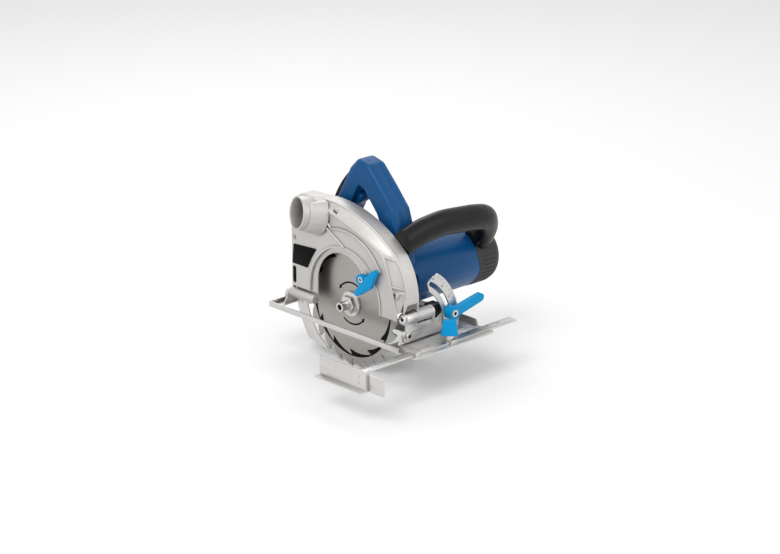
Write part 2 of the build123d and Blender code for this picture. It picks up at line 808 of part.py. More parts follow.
def guard_screws():
    made = []
    for x, y, z in guard_screw_places():
        place = Pos(x, y + screw_sink, z) * Rot(90, 0, 0)
        made.append(place * socket_screw(screw_r, screw_head_r, screw_sink - 0.8, screw_l - 0.5))
    return Compound(children=made)


def name_plate():
    z = arbor_h
    left = rim_rear_x + 2.5
    sketch = polygon([(left + 3.0, z + 70.0), (left + 52.0, z + 73.0), (left + 41.0, z + 57.5),
                      (left + 32.5, z + 40.0), (left, z + 40.5)])
    return side_plate(fillet(sketch.vertices(), 1.5), face_y - 1.0, face_y)


# Lower blade guard
def lower_guard():
    centre = (0.0, arbor_h)
    disc = sector(lower_r - 75.0, lower_r, lower_end_angle, 178.0, centre)
    left = lower_arch_x - lower_arch_r
    plate = disc - arch_face(lower_arch_r, lower_arch_x, arbor_h + lower_arch_z)
    tail_top = arbor_h + 10.0
    tail_low = arbor_h + lower_tail_z
    tail_x = -lower_r + 1.5
    tail = polygon([(tail_x, tail_low), (left, tail_low), (left, tail_top), (tail_x, tail_top)])
    body = side_plate(plate + tail, lower_out_y, lower_plate_y)
    body += rod_x(lip_r, rim_rear_x, left, lip_y, tail_low)
    rim = sector(lower_r - lower_rim_t, lower_r, lower_end_angle, lower_rim_angle, centre)
    hub_front = boss_y + 0.6
    hub_back = hub_front + hub_t
    body += side_plate(rim, lower_out_y, hub_back)
    web = sector(boss_r + 3.0, lower_r, lower_end_angle, lower_rim_angle, centre)
    body += side_plate(web, hub_front, hub_back)
    body += rod_y(boss_r + hub_ring, hub_front, hub_back, centre)
    body -= rod_y(boss_r + run_fit, hub_front - 1, hub_back + 1, centre)
    return body


def lever_shape():
    near = (lever_x, lever_z)
    tip_1 = (lever_x + 29.5, lever_z + 17.0)
    tip_2 = (lever_x - 6.0, lever_z - 20.0)
    middle = (lever_x + 17.0, lever_z - 2.0)
    wing = hull_of([(middle[0], middle[1], 8.0), (tip_1[0], tip_1[1], 4.0)])
    wing += hull_of([(middle[0], middle[1], 8.0), (tip_2[0] + 2.0, tip_2[1], 4.5)])
    return wing, near, middle


def guard_lever():
    wing, near, middle = lever_shape()
    outer = face_y - 1.6
    hub = rod_y(lever_neck_r, outer, lower_out_y, near)
    hub += rod_y(lever_hub_r, outer - lever_hub_l, outer, near)
    hub += side_plate(hull_of([(near[0], near[1], lever_hub_r - 1.0), (middle[0], middle[1], 7.0)]),
                      outer - lever_hub_l + 1.0, outer - 2.0)
    hub += side_plate(wing, outer - lever_hub_l - 3.0, outer - 3.0)
    hub -= rod_y(2.5 + thread_gap, outer - 30, lower_out_y + 1, near)
    return hub - rod_y(5.0, outer - lever_hub_l - 5, outer - lever_hub_l + 3.0, near)


def guard_lever_screw():
    outer = face_y - 1.6
    seat = outer - lever_hub_l + 3.0
    length = lower_out_y - seat
    return Pos(lever_x, seat, lever_z) * Rot(90, 0, 0) * socket_screw(2.5, 4.5, 2.6, length)


def guard_spring():
    y0 = boss_y + 0.6 + hub_t + 0.4
    return ring_y(boss_r + 0.4, boss_r + 2.0, y0, back_wall_y - 0.2, arbor)


def riving_knife():
    outer = sector(knife_in, knife_out, knife_root_angle, knife_tip_angle, arbor)
    taper = knife_tip_angle - knife_taper
    cut = polygon([polar(knife_out, taper, arbor), polar(knife_in, knife_tip_angle, arbor),
                   polar(knife_out + 30.0, knife_tip_angle, arbor), polar(knife_out + 30.0, taper, arbor)])
    body = side_plate(outer - cut, -knife_t / 2, knife_t / 2)
    for x, z in knife_screw_places():
        body -= rod_y(screw_r + thread_gap, -10, 10, (x, z))
    return body


def knife_screw_places():
    mid_r = (knife_in + knife_out) / 2
    return [polar(mid_r, knife_root_angle + a, arbor) for a in (2.6, 7.4)]


def knife_pad():
    return sector(knife_in + 1.0, knife_out - 2.0, knife_root_angle, knife_root_angle + 10.0, arbor)


def knife_holder():
    body = side_plate(knife_pad(), knife_t / 2, back_wall_y)
    for x, z in knife_screw_places():
        body -= rod_y(screw_r + thread_gap, -10, 30, (x, z))
    return body


def knife_screws():
    made = []
    length = knife_t / 2 + back_wall_y - 1.0
    for x, z in knife_screw_places():
        place = Pos(x, -knife_t / 2, z) * Rot(90, 0, 0)
        made.append(place * socket_screw(screw_r, screw_head_r, 1.8, length))
    return Compound(children=made)


# Main handle
def leg_top():
    return (-30.0, arbor_h + 192.0)


def leg_foot():
    return (-80.0, arbor_h + 104.0)


def handle_outline():
    z = arbor_h
    outer = polygon([leg_top(), (-14.0, z + 208.0), (9.0, z + 202.0), (36.0, z + 174.0),
                     (61.0, z + 146.0), (71.0, z + 116.0), (74.0, z + 58.0), (10.0, z + 48.0),
                     (-52.0, z + 54.0), (-88.0, z + 72.0), leg_foot()])
    return fillet(outer.vertices(), handle_round)


def handle_hole():
    z = arbor_h
    hole = polygon([(-10.0, z + 172.0), (2.0, z + 166.0), (28.0, z + 136.0), (40.0, z + 112.0),
                    (32.0, z + 92.0), (-38.0, z + 86.0), (-48.0, z + 102.0)])
    return fillet(hole.vertices(), 6.0)


def grip_cut():
    z = arbor_h
    return polygon([(-120.0, z + 84.0), (-78.0, z + 92.0), (-20.0, z + 187.0), (-60.0, z + 205.0)])


def leg_place():
    leg_angle = 30.0
    return Pos(-29.4, handle_mid_y, arbor_h + 136.0) * Rot(0, leg_angle, 0)


def handle_block():
    solid = side_plate(handle_outline(), handle_y0, handle_y1)
    rims = solid.edges().group_by(Axis.Y)
    solid = fillet(rims[0] + rims[-1], handle_edge)
    return solid - side_plate(handle_hole(), handle_y0 - 1, handle_y1 + 1)


def handle_body():
    outer = handle_outline()
    hole = handle_hole()
    body = handle_block()
    strip = side_plate(grip_cut(), handle_y0 - 1, handle_y1 + 1)
    body -= strip - side_plate(offset(outer, -grip_t), handle_y0 - 2, handle_y1 + 2)
    cavity = side_plate(offset(outer, -handle_wall - grip_t) - offset(hole, handle_wall),
                        handle_y0 + handle_wall, handle_y1 - handle_wall)
    cavity -= rod_y(housing_r + handle_wall, handle_y0, handle_y1, motor)
    cavity -= side_plate(hull_of(case_circles(case_wall + handle_wall)), handle_y0, handle_y1)
    for x, z in handle_screw_places():
        cavity -= rod_y(handle_boss_r, handle_y0, handle_y1, (x, z))
    body -= cavity
    body -= rod_y(housing_r + part_gap, 0, 200, motor)
    body -= side_plate(hull_of(case_circles(case_wall + part_gap)), 0, case_back_y + part_gap)
    slot_w = trigger_w + 2 * slide_gap
    slot_l = trigger_l + 2 * slide_gap
    body -= leg_place() * Pos(trigger_out / 2, 0, 0) * Box(2 * trigger_in + trigger_out, slot_w, slot_l)
    body -= lock_place() * Pos(0, 0, -handle_wall) * Cylinder(button_r + slide_gap, 4 * handle_wall)
    for x, z in handle_screw_places():
        body -= rod_y(screw_r + thread_gap, handle_y0 + 4.0, handle_y1 + 1, (x, z))
        body -= rod_y(screw_head_r + thread_gap, handle_y1 - screw_head_l, handle_y1 + 1, (x, z))
    return body


def handle_half(y0, y1):
    return handle_body() & block(-300, 300, y0, y1, -100, 400)


def handle_right():
    return handle_half(handle_y0, handle_mid_y)


def handle_left():
    return handle_half(handle_mid_y, handle_y1)


def handle_screw_places():
    z = arbor_h
    return [(-8.0, z + 188.0), (51.0, z + 128.0), (-66.0, z + 84.0)]


def handle_screws():
    made = []
    length = handle_y1 - handle_y0 - 4.0 - screw_head_l - 1.0
    for x, z in handle_screw_places():
        place = Pos(x, handle_y1 - screw_head_l, z) * Rot(-90, 0, 0)
        made.append(place * socket_screw(screw_r, screw_head_r, screw_head_l, length))
    return Compound(children=made)


def soft_grip():
    outer = handle_outline()
    strip = handle_block() & side_plate(grip_cut(), handle_y0, handle_y1)
    strip -= side_plate(offset(outer, -grip_t + touch_gap), 0, 100)
    back = Line(leg_foot(), leg_top())
    top = back @ 0.88
    foot = back @ 0.12
    across = back.tangent_at(0.5)
    middle = back @ 0.45
    crown = (middle.X - across.Y * grip_bulge, middle.Y + across.X * grip_bulge)
    pad = make_face([Line(foot, top), ThreePointArc(top, crown, foot)])
    return strip + side_plate(pad, handle_y0 + grip_inset, handle_y1 - grip_inset)


def trigger():
    depth = trigger_out + trigger_in
    body = leg_place() * Pos((trigger_out - trigger_in) / 2, 0, 0) * Box(depth, trigger_w, trigger_l)
    finger = leg_place() * Pos(trigger_out + 16.0, 0, -2.0) * Rot(90, 0, 0) * Cylinder(20.0, trigger_w + 2)
    return body - finger


def switch_block():
    x1 = -trigger_in - trigger_travel - slide_gap
    width = handle_y1 - handle_y0 - 2 * handle_wall - 2 * touch_gap
    return leg_place() * Pos(x1 - switch_t / 2, 0, 0) * Box(switch_t, width, trigger_l - 6.0)


def lock_place():
    return leg_place() * Pos(-12.0, handle_y1 - handle_mid_y, trigger_l / 2 + 10.0) * Rot(-90, 0, 0)


def lock_button():
    inside = 2 * handle_wall
    return lock_place() * Pos(0, 0, (button_out - inside) / 2) * Cylinder(button_r, button_out + inside)


def spindle_lock():
    y = stage_2_y + stage_2_t / 2
    tip_x = module_2 * driven_teeth / 2 + module_2 + lock_travel
    body = rod_x(button_r - 1.0, -tip_x - lock_l, -tip_x, y, arbor_h)
    return body + rod_x(button_r + 1.0, -tip_x - lock_l, -tip_x - lock_l + 6.0, y, arbor_h)


# Front bow handle
def front_handle():
    z = arbor_h
    x = rim_front_x - 32.0
    end_y = housing_y1 + 11.0
    route = [(x, rim_back_y + part_gap, z + 106), (x + 6, 48, z + 119), (x + 9, 84, z + 124),
             (x + 9, end_y - 49, z + 118), (x + 6, end_y - 21, z + 111), (x - 7, end_y - 4, z + 90),
             (motor_dx + 29, end_y, z + 66)]
    path = FilletPolyline(*route, radius=[60.0, 120.0, 160.0, 40.0, 34.0])
    start = Plane(origin=path @ 0, x_dir=(0, 0, 1), z_dir=path % 0)
    body = sweep(start * Ellipse(bow_h / 2, bow_w / 2), path=path)
    body -= rod_y(housing_r + touch_gap, 0, 260, motor)
    body -= side_plate(offset(handle_outline(), part_gap), handle_y0 - part_gap, handle_y1 + part_gap)
    body -= block(0, 200, -100, rim_back_y + part_gap, 0, 300)
    foot_y0 = housing_y1 - 12.0
    foot = polar(housing_r + 2.0, 52.0, motor)
    pad = Pos(foot[0], foot_y0 + 14.0, foot[1]) * Rot(0, -52.0, 0) * Box(14.0, 24.0, 26.0)
    body += pad - rod_y(housing_r + touch_gap, 0, 260, motor)
    return body


# Base with its straps and bevel quadrant
def base_plate():
    outline = Pos((base_rear_x + base_front_x) / 2, (base_right_y + base_left_y) / 2) * Rectangle(
        base_front_x - base_rear_x, base_left_y - base_right_y)
    front = outline.vertices().group_by(Axis.X)[-1]
    outline = fillet(front, 6.0)
    slot = Pos((window_rear_x + window_front_x) / 2, (slot_right_y + slot_left_y) / 2) * Rectangle(
        window_front_x - window_rear_x, slot_left_y - slot_right_y)
    slot = fillet(slot.vertices(), 8.0)
    body = extrude(outline - slot, amount=sheet)
    body += block(base_rear_x, rail_front_x, base_right_y, base_right_y + sheet, 0, rail_h)
    body += block(base_rear_x, base_rear_x + sheet, base_right_y, base_left_y, 0, rail_h)
    left = Pos((base_rear_x + rail_front_x) / 2, left_h / 2) * Rectangle(rail_front_x - base_rear_x, left_h)
    left = fillet(left.vertices().group_by(Axis.Y)[-1], 5.0)
    body += side_plate(left, base_left_y - sheet, base_left_y)
    for x in (tab_front_x, tab_rear_x):
        body += cross_plate(tab_face(), x, x + tab_t)
    for x in (tab_front_x, tab_rear_x):
        body -= rod_x(bevel_pin_r + touch_gap, x - 5, x + 5 + tab_t, bevel_y, bevel_z)
    return body


def tab_face():
    ear = Pos(bevel_y, bevel_z) * Circle(bevel_head_r + 3.0)
    foot = polygon([(bevel_y - 16.0, sheet / 2), (bevel_y + 17.0, sheet / 2), (bevel_y + 8.0, bevel_z),
                    (bevel_y, bevel_z + 6.0), (bevel_y - 8.0, bevel_z)])
    return ear + foot


def guide_straps():
    made = []
    half = bar_w / 2 + slide_gap
    top = sheet + bar_t + slide_gap
    for y in strap_y:
        y0 = y - strap_w / 2
        y1 = y + strap_w / 2
        strap = block(bar_x - half - strap_t, bar_x + half + strap_t, y0, y1, sheet, top + strap_t)
        strap -= block(bar_x - half, bar_x + half, y0 - 1, y1 + 1, sheet - 1, top)
        made.append(strap)
    made[1] += rod_z(wing_boss_r, top + strap_t, top + strap_t + wing_boss_l, bar_x, strap_y[1])
    made[1] -= rod_z(wing_screw_r + run_fit, 0, 40, bar_x, strap_y[1])
    return Compound(children=made)


def quadrant():
    centre = (bevel_y, bevel_z)
    top = clamp_angle + bevel_max
    half = clamp_screw_r + slide_gap
    end = top - 3.0
    face = sector(quadrant_in, quadrant_out, -4.0, end, centre)
    slot_end = polar(clamp_r, top + 0.5, centre)
    low_end = polar(quadrant_in + 3.0, end - 1.0, centre)
    high_end = polar(quadrant_out - 1.0, end, centre)
    face += hull_of([(*slot_end, half + slot_rim), (*low_end, 3.0), (*high_end, 1.0)])
    face += polygon([(bevel_y + quadrant_in, sheet), (bevel_y + quadrant_out, sheet),
                     (bevel_y + quadrant_out, bevel_z), (bevel_y + quadrant_in, bevel_z)])
    a0 = clamp_angle
    a1 = top
    slot = sector(clamp_r - half, clamp_r + half, a0 - 0.5, a1 + 0.5, centre)
    for a in (a0 - 0.5, a1 + 0.5):
        slot += Pos(*polar(clamp_r, a, centre)) * Circle(half)
    floor = polygon([(0, sheet), (200, sheet), (200, 200), (0, 200)])
    body = cross_plate((face & floor) - slot, quadrant_x, quadrant_x + quadrant_t)
    y0 = bevel_y + quadrant_in
    y1 = bevel_y + quadrant_out
    body += block(quadrant_x, quadrant_x + 14.0, y0, y1, sheet, sheet + quadrant_t)
    return body


# Tilting frame: front bracket, rear bracket with the depth arc, and the depth pin
def bevel_bracket():
    x0 = bevel_bracket_x
    x1 = x0 + bracket_t
    low = sheet + 2.4
    high = depth_z - barrel_r - part_gap - 0.8
    ear = Pos(bevel_y, bevel_z) * Circle(bevel_head_r + 3.4)
    band = polygon([(bevel_y, low), (clamp_y - 14.0, low), (clamp_y, clamp_z - 9.0),
                    (clamp_y, clamp_z + 7.0), (clamp_y - 20.0, high), (barrel_mid_y, high),
                    (barrel_mid_y, depth_z), (barrel_y0, depth_z), (barrel_y0, bevel_z)])
    boss = Pos(clamp_y, clamp_z) * Circle(9.0)
    body = cross_plate(ear + band + boss, x0, x1)
    at = (depth_x, depth_z)
    body += rod_y(barrel_r, barrel_y0, barrel_mid_y, at)
    foot = high - 4.0
    far = hull_of([(depth_x, depth_z, barrel_r), (depth_x + 4.0, foot, 3.0), (depth_x - 2.0, foot, 3.0)])
    ear_y0 = barrel_y1 + part_gap
    body += side_plate(far, ear_y0, ear_y0 + ear_t)
    body -= rod_y(depth_pin_r + touch_gap, barrel_y0 - 1, ear_y0 + ear_t + 1, at)
    body -= rod_x(bevel_pin_r + run_fit, x0 - 2, x1 + 2, bevel_y, bevel_z)
    return body - rod_x(clamp_screw_r + run_fit, x0 - 2, x1 + 2, clamp_y, clamp_z)


def depth_pin():
    at = (depth_x, depth_z)
    end = barrel_y1 + part_gap + ear_t
    body = rod_y(depth_pin_r, barrel_y0, end + pin_head_l, at)
    body += rod_y(barrel_r - 2.0, barrel_y0 - pin_head_l, barrel_y0, at)
    body += rod_y(pin_nut_r, end, end + pin_head_l, at)
    socket = Pos(*at) * RegularPolygon(3.0, 6)
    return body - side_plate(socket, barrel_y0 - pin_head_l - 1.0, barrel_y0 - 1.0)


def pivot_cover():
    y0 = barrel_y1 + part_gap + ear_t
    x1 = bevel_bracket_x
    body = block(x1 - 16.0, x1, y0, clamp_y - clamp_nut_r - cover_gap, sheet + 6.0, depth_z + barrel_r - 1.0)
    return body - rod_y(pin_nut_r + touch_gap, y0 - 1, y0 + pin_head_l + touch_gap, (depth_x, depth_z))


def rear_bracket():
    x1 = tab_rear_x - part_gap
    x0 = x1 - bracket_t
    ear = Pos(bevel_y, bevel_z) * Circle(bevel_head_r + 3.0)
    side = arc_y0 + arc_t
    plate = polygon([(bevel_y, bevel_z - 8.0), (side, bevel_z - 6.0), (side, bevel_z + 22.0),
                     (arc_y0, bevel_z + 22.0), (bevel_y, bevel_z + 9.0)])
    body = cross_plate(ear + plate, x0, x1)
    body -= rod_x(bevel_pin_r + run_fit, x0 - 2, x1 + 2, bevel_y, bevel_z)
    pivot = (depth_x, depth_z)
    reach = math.hypot(arc_clamp_x - depth_x, arc_clamp_z - depth_z)
    rest = 180.0 - math.degrees(math.atan2(arc_clamp_z - depth_z, depth_x - arc_clamp_x))
    half = arc_w / 2
    arc = sector(reach - half, reach + half, rest - depth_max - 3.0, rest + 6.0, pivot)
    foot_z = bevel_z - 6.0
    end_in = polar(reach - half, rest + 5.0, pivot)
    end_out = polar(reach + half, rest + 5.0, pivot)
    arc += polygon([(x0, foot_z), (end_in[0], foot_z + 6.0), end_in, end_out, (x0, foot_z + 28.0)])
    hole = clamp_screw_r + slide_gap
    slot = sector(reach - hole, reach + hole, rest - depth_max - 0.3, rest + 0.3, pivot)
    for a in (rest - depth_max - 0.3, rest + 0.3):
        slot += Pos(*polar(reach, a, pivot)) * Circle(hole)
    return body + side_plate(arc - slot, arc_y0, side)


def bevel_pivots():
    front = bevel_bracket_x + bracket_t
    first = Pos(front + part_gap, bevel_y, bevel_z) * Rot(0, 90, 0)
    length = bracket_t + tab_t + 2 * part_gap + 2.0
    one = first * socket_screw(bevel_pin_r, bevel_head_r, 3.0, length)
    rear = tab_rear_x - part_gap - bracket_t
    second = Pos(rear - part_gap, bevel_y, bevel_z) * Rot(0, -90, 0)
    two = second * socket_screw(bevel_pin_r, bevel_head_r, 2.2, length)
    return Compound(children=[one, two])


# Clamping levers and screws
def bevel_lever():
    x0 = quadrant_x + quadrant_t + part_gap
    hub = rod_x(lever_big_r, x0, x0 + lever_big_l, clamp_y, clamp_z)
    tip = polar(lever_arm, lever_lift, (clamp_y, clamp_z))
    arm = hull_of([(clamp_y, clamp_z, lever_big_r - 3.0), (tip[0], tip[1], 6.0)])
    body = hub + cross_plate(arm, x0 + 4.0, x0 + lever_big_l - 1.0)
    body -= rod_x(clamp_screw_r + thread_gap, x0 - 5, x0 + 40, clamp_y, clamp_z)
    return body - rod_x(6.0, x0 + lever_big_l - 3.0, x0 + 40, clamp_y, clamp_z)


def bevel_clamp_screw():
    x0 = bevel_bracket_x - 3.0
    seat = quadrant_x + quadrant_t + part_gap + lever_big_l - 3.0
    body = Pos(seat, clamp_y, clamp_z) * Rot(0, 90, 0) * socket_screw(clamp_screw_r, 5.6, 3.6, seat - x0)
    return body + rod_x(clamp_nut_r, x0 - 1.5, x0 + 3.0 - part_gap, clamp_y, clamp_z)


def depth_lever():
    at = (arc_clamp_x, arc_clamp_z)
    y0 = arc_y0 + arc_t + part_gap
    hub = rod_y(lever_big_r - 1.0, y0, y0 + lever_big_l - 1.0, at)
    tip = polar(lever_arm * 0.75, 200.0, at)
    arm = hull_of([(at[0], at[1], lever_big_r - 4.0), (tip[0], tip[1], 5.0)])
    body = hub + side_plate(arm, y0 + 4.0, y0 + lever_big_l - 2.0)
    return body - rod_y(clamp_screw_r + thread_gap, 0, 60, at)


def depth_clamp_screw():
    at = (arc_clamp_x, arc_clamp_z)
    seat = arc_y0 + arc_t + part_gap + lever_big_l - 1.0
    body = rod_y(clamp_screw_r, back_wall_y + part_gap, seat, at)
    return body + rod_y(clamp_screw_r + 2.0, seat, seat + 3.0, at)


# Edge guide
def guide_bar():
    x0 = bar_x - bar_w / 2
    x1 = bar_x + bar_w / 2
    body = block(x0, x1, bar_y0, bar_y1, sheet, sheet + bar_t)
    tab = block(x0, x1, bar_y0, bar_y0 + bar_t, fence_top - fence_h + 6.0, sheet + bar_t)
    return body + tab


def fence():
    y1 = bar_y0
    y0 = y1 - fence_t
    low = fence_top - fence_h
    fold = bar_x + fence_step_x
    body = block(fence_x0, fold, y0, y1, low, fence_top)
    body += block(fold - fence_t, fold, y0, y1 + fence_step, low, fence_top)
    far_top = fence_top - fence_drop
    body += block(fold - fence_t, fence_x0 + fence_l, y0 + fence_step, y1 + fence_step, low, far_top)
    return body + block(fence_x0, fold, y0 - fence_foot, y0, low, low + fence_t)


def fence_rivets():
    made = []
    for z in (fence_top - 9.0, fence_top - 18.0):
        made.append(Pos(bar_x, bar_y0 - fence_t, z) * Rot(90, 0, 0) * Pos(0, 0, 0.6) * Cylinder(2.2, 1.2))
    return Compound(children=made)


def wing_screw():
    y = strap_y[1]
    z0 = sheet + bar_t + touch_gap
    top = sheet + bar_t + slide_gap + strap_t + wing_boss_l + part_gap
    body = rod_z(wing_screw_r, z0, top, bar_x, y)
    low = Rectangle(wing_w, 12.0)
    high = Rectangle(wing_w - 6.0, 9.0)
    turn = Pos(bar_x, y, top) * Rot(0, 0, 45)
    body += turn * loft([low, Pos(0, 0, wing_h) * high])
    return body


parts = {
    "blade": blade,
    "inner_flange": inner_flange,
    "outer_flange": outer_flange,
    "arbor_bolt": arbor_bolt,
    "spindle": spindle,
    "driven_gear": driven_gear,
    "layshaft": layshaft,
    "armature_shaft": armature_shaft,
    "armature_core": armature_core,
    "commutator": commutator,
    "cooling_fan": fan,
    "front_spindle_bearing": front_spindle_bearing,
    "front_motor_bearing": front_motor_bearing,
    "small_bearings": small_bearings,
    "gear_bushes": gear_bushes,
    "stator_core": stator_core,
    "field_coils": field_coils,
    "carbon_brushes": brushes,
    "brush_holders": brush_holders,
    "gear_case": gear_case,
    "motor_seat": motor_seat,
    "motor_housing": motor_housing,
    "end_cap": end_cap,
    "cable_gland": cable_gland,
    "upper_guard": upper_guard,
    "dust_port": dust_port,
    "guard_screws": guard_screws,
    "name_plate": name_plate,
    "lower_guard": lower_guard,
    "guard_lever": guard_lever,
    "guard_lever_screw": guard_lever_screw,
    "guard_spring": guard_spring,
    "riving_knife": riving_knife,
    "knife_holder": knife_holder,
    "knife_screws": knife_screws,
    "handle_right": handle_right,
    "handle_left": handle_left,
    "handle_screws": handle_screws,
    "soft_grip": soft_grip,
    "trigger": trigger,
    "switch_block": switch_block,
    "lock_button": lock_button,
    "spindle_lock": spindle_lock,
    "front_handle": front_handle,
    "base_plate": base_plate,
    "guide_straps": guide_straps,
    "quadrant": quadrant,
    "bevel_bracket": bevel_bracket,
    "depth_pin": depth_pin,
    "pivot_cover": pivot_cover,
    "rear_bracket": rear_bracket,
    "bevel_pivots": bevel_pivots,
    "bevel_lever": bevel_lever,
    "bevel_clamp_screw": bevel_clamp_screw,
    "depth_lever": depth_lever,
    "depth_clamp_screw": depth_clamp_screw,
    "guide_bar": guide_bar,
    "fence": fence,
    "fence_rivets": fence_rivets,
    "wing_screw": wing_screw,
}


def main():
    os.makedirs("parts", exist_ok=True)
    for name, make in parts.items():
        export_step(make(), f"parts/{name}.step")


main()
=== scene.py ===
import json
import math
import bmesh
import bpy
from mathutils import Matrix, Vector


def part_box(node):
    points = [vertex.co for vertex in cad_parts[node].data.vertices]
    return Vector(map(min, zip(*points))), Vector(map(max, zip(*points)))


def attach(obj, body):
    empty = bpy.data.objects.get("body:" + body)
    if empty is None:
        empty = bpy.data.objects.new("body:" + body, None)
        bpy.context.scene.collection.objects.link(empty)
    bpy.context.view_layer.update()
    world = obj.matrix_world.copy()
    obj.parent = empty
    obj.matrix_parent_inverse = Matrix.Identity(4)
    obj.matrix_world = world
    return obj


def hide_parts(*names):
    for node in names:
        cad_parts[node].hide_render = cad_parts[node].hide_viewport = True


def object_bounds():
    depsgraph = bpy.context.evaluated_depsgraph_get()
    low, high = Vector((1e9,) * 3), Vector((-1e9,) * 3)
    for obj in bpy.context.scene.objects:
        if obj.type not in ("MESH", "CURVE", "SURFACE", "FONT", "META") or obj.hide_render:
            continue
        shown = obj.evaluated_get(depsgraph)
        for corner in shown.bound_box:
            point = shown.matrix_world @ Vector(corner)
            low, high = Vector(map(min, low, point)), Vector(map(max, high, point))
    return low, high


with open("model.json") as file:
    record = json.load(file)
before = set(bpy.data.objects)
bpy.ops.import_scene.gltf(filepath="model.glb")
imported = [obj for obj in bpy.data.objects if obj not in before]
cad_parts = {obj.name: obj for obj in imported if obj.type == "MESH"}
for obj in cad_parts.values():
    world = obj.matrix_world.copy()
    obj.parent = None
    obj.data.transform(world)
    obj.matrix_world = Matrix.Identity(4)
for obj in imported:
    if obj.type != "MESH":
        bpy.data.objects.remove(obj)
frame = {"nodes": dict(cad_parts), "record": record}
cadLow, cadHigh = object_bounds()
nodes = frame["nodes"]
mm = 0.001
scene = bpy.context.scene
scene.view_settings.view_transform = "Standard"
bodies = frame["record"]["behaviour"]["bodies"]
bodyOf = {node: body for body, names in bodies.items() for node in names}
slotOf = {row["node"]: row["material_slot"] for row in frame["record"]["subparts"]}
print("frame loaded:", len(nodes), "nodes")


# sRGB hex to the linear colour that sockets take
def hexColour(code):
    shares = [int(code[i:i + 2], 16) / 255 for i in (1, 3, 5)]
    linear = [c / 12.92 if c <= 0.04045 else ((c + 0.055) / 1.055) ** 2.4 for c in shares]
    return (*linear, 1.0)


# one node with its settings, and a value or a link for each named input
def addNode(tree, kind, inputs=None, **settings):
    node = tree.nodes.new(kind)
    for name, value in settings.items():
        setattr(node, name, value)
    for socket, value in (inputs or {}).items():
        if isinstance(value, bpy.types.NodeSocket):
            tree.links.new(value, node.inputs[socket])
        else:
            node.inputs[socket].default_value = value
    return node


# a new material with its shader, ready for its own pattern
def startMaterial(name, **sockets):
    material = bpy.data.materials.new(name)
    material.use_nodes = True
    tree = material.node_tree
    shader = tree.nodes["Principled BSDF"]
    for socket, value in sockets.items():
        shader.inputs[socket.replace("_", " ")].default_value = value
    place = tree.nodes.new("ShaderNodeTexCoord").outputs["Object"]
    return material, tree, shader, place


# noise repeats per metre for a grain of this many millimetres
def perGrain(size):
    return 1.0 / (size * mm)


# links a finished pattern to its shader
def wirePattern(tree, shader, colour, rough, bump):
    tree.links.new(colour.outputs["Result"], shader.inputs["Base Color"])
    tree.links.new(rough.outputs["Result"], shader.inputs["Roughness"])
    tree.links.new(bump.outputs["Normal"], shader.inputs["Normal"])


def castAluminium():
    # blasted and lacquered casting: soft pale sheen, sandy grain, faint cloudy patches, painted shade in the
    # corners
    look = {"light": "#CECCC9", "dark": "#BAB7B3", "corner": "#4A4744", "reach": 5.0, "cloud": 35.0,
            "grain": 0.7, "smooth": 0.46, "rough": 0.6, "bump": 0.25, "depth": 0.05}
    material, tree, shader, place = startMaterial("castAluminium", Metallic=0.85)
    cloud = addNode(tree, "ShaderNodeTexNoise",
                    {"Vector": place, "Scale": perGrain(look["cloud"]), "Detail": 4.0})
    grain = addNode(tree, "ShaderNodeTexNoise",
                    {"Vector": place, "Scale": perGrain(look["grain"]), "Detail": 2.0})
    tone = addNode(tree, "ShaderNodeMix",
                   {"Factor": cloud.outputs["Fac"], "A": hexColour(look["dark"]),
                    "B": hexColour(look["light"])}, data_type="RGBA")
    # painted shade: where ambient occlusion finds nearby surfaces, the colour is mixed towards the dark
    # corner colour
    occlusion = addNode(tree, "ShaderNodeAmbientOcclusion", {"Distance": look["reach"] * mm},
                   only_local=True, samples=8)
    paintedShade = addNode(tree, "ShaderNodeMix",
                    {"Factor": occlusion.outputs["AO"], "A": hexColour(look["corner"]),
                     "B": tone.outputs["Result"]}, data_type="RGBA")
    rough = addNode(tree, "ShaderNodeMapRange",
                    {"Value": grain.outputs["Fac"], "To Min": look["smooth"], "To Max": look["rough"]})
    bump = addNode(tree, "ShaderNodeBump",
                   {"Height": grain.outputs["Fac"], "Strength": look["bump"],
                    "Distance": look["depth"] * mm})
    wirePattern(tree, shader, paintedShade, rough, bump)
    return material


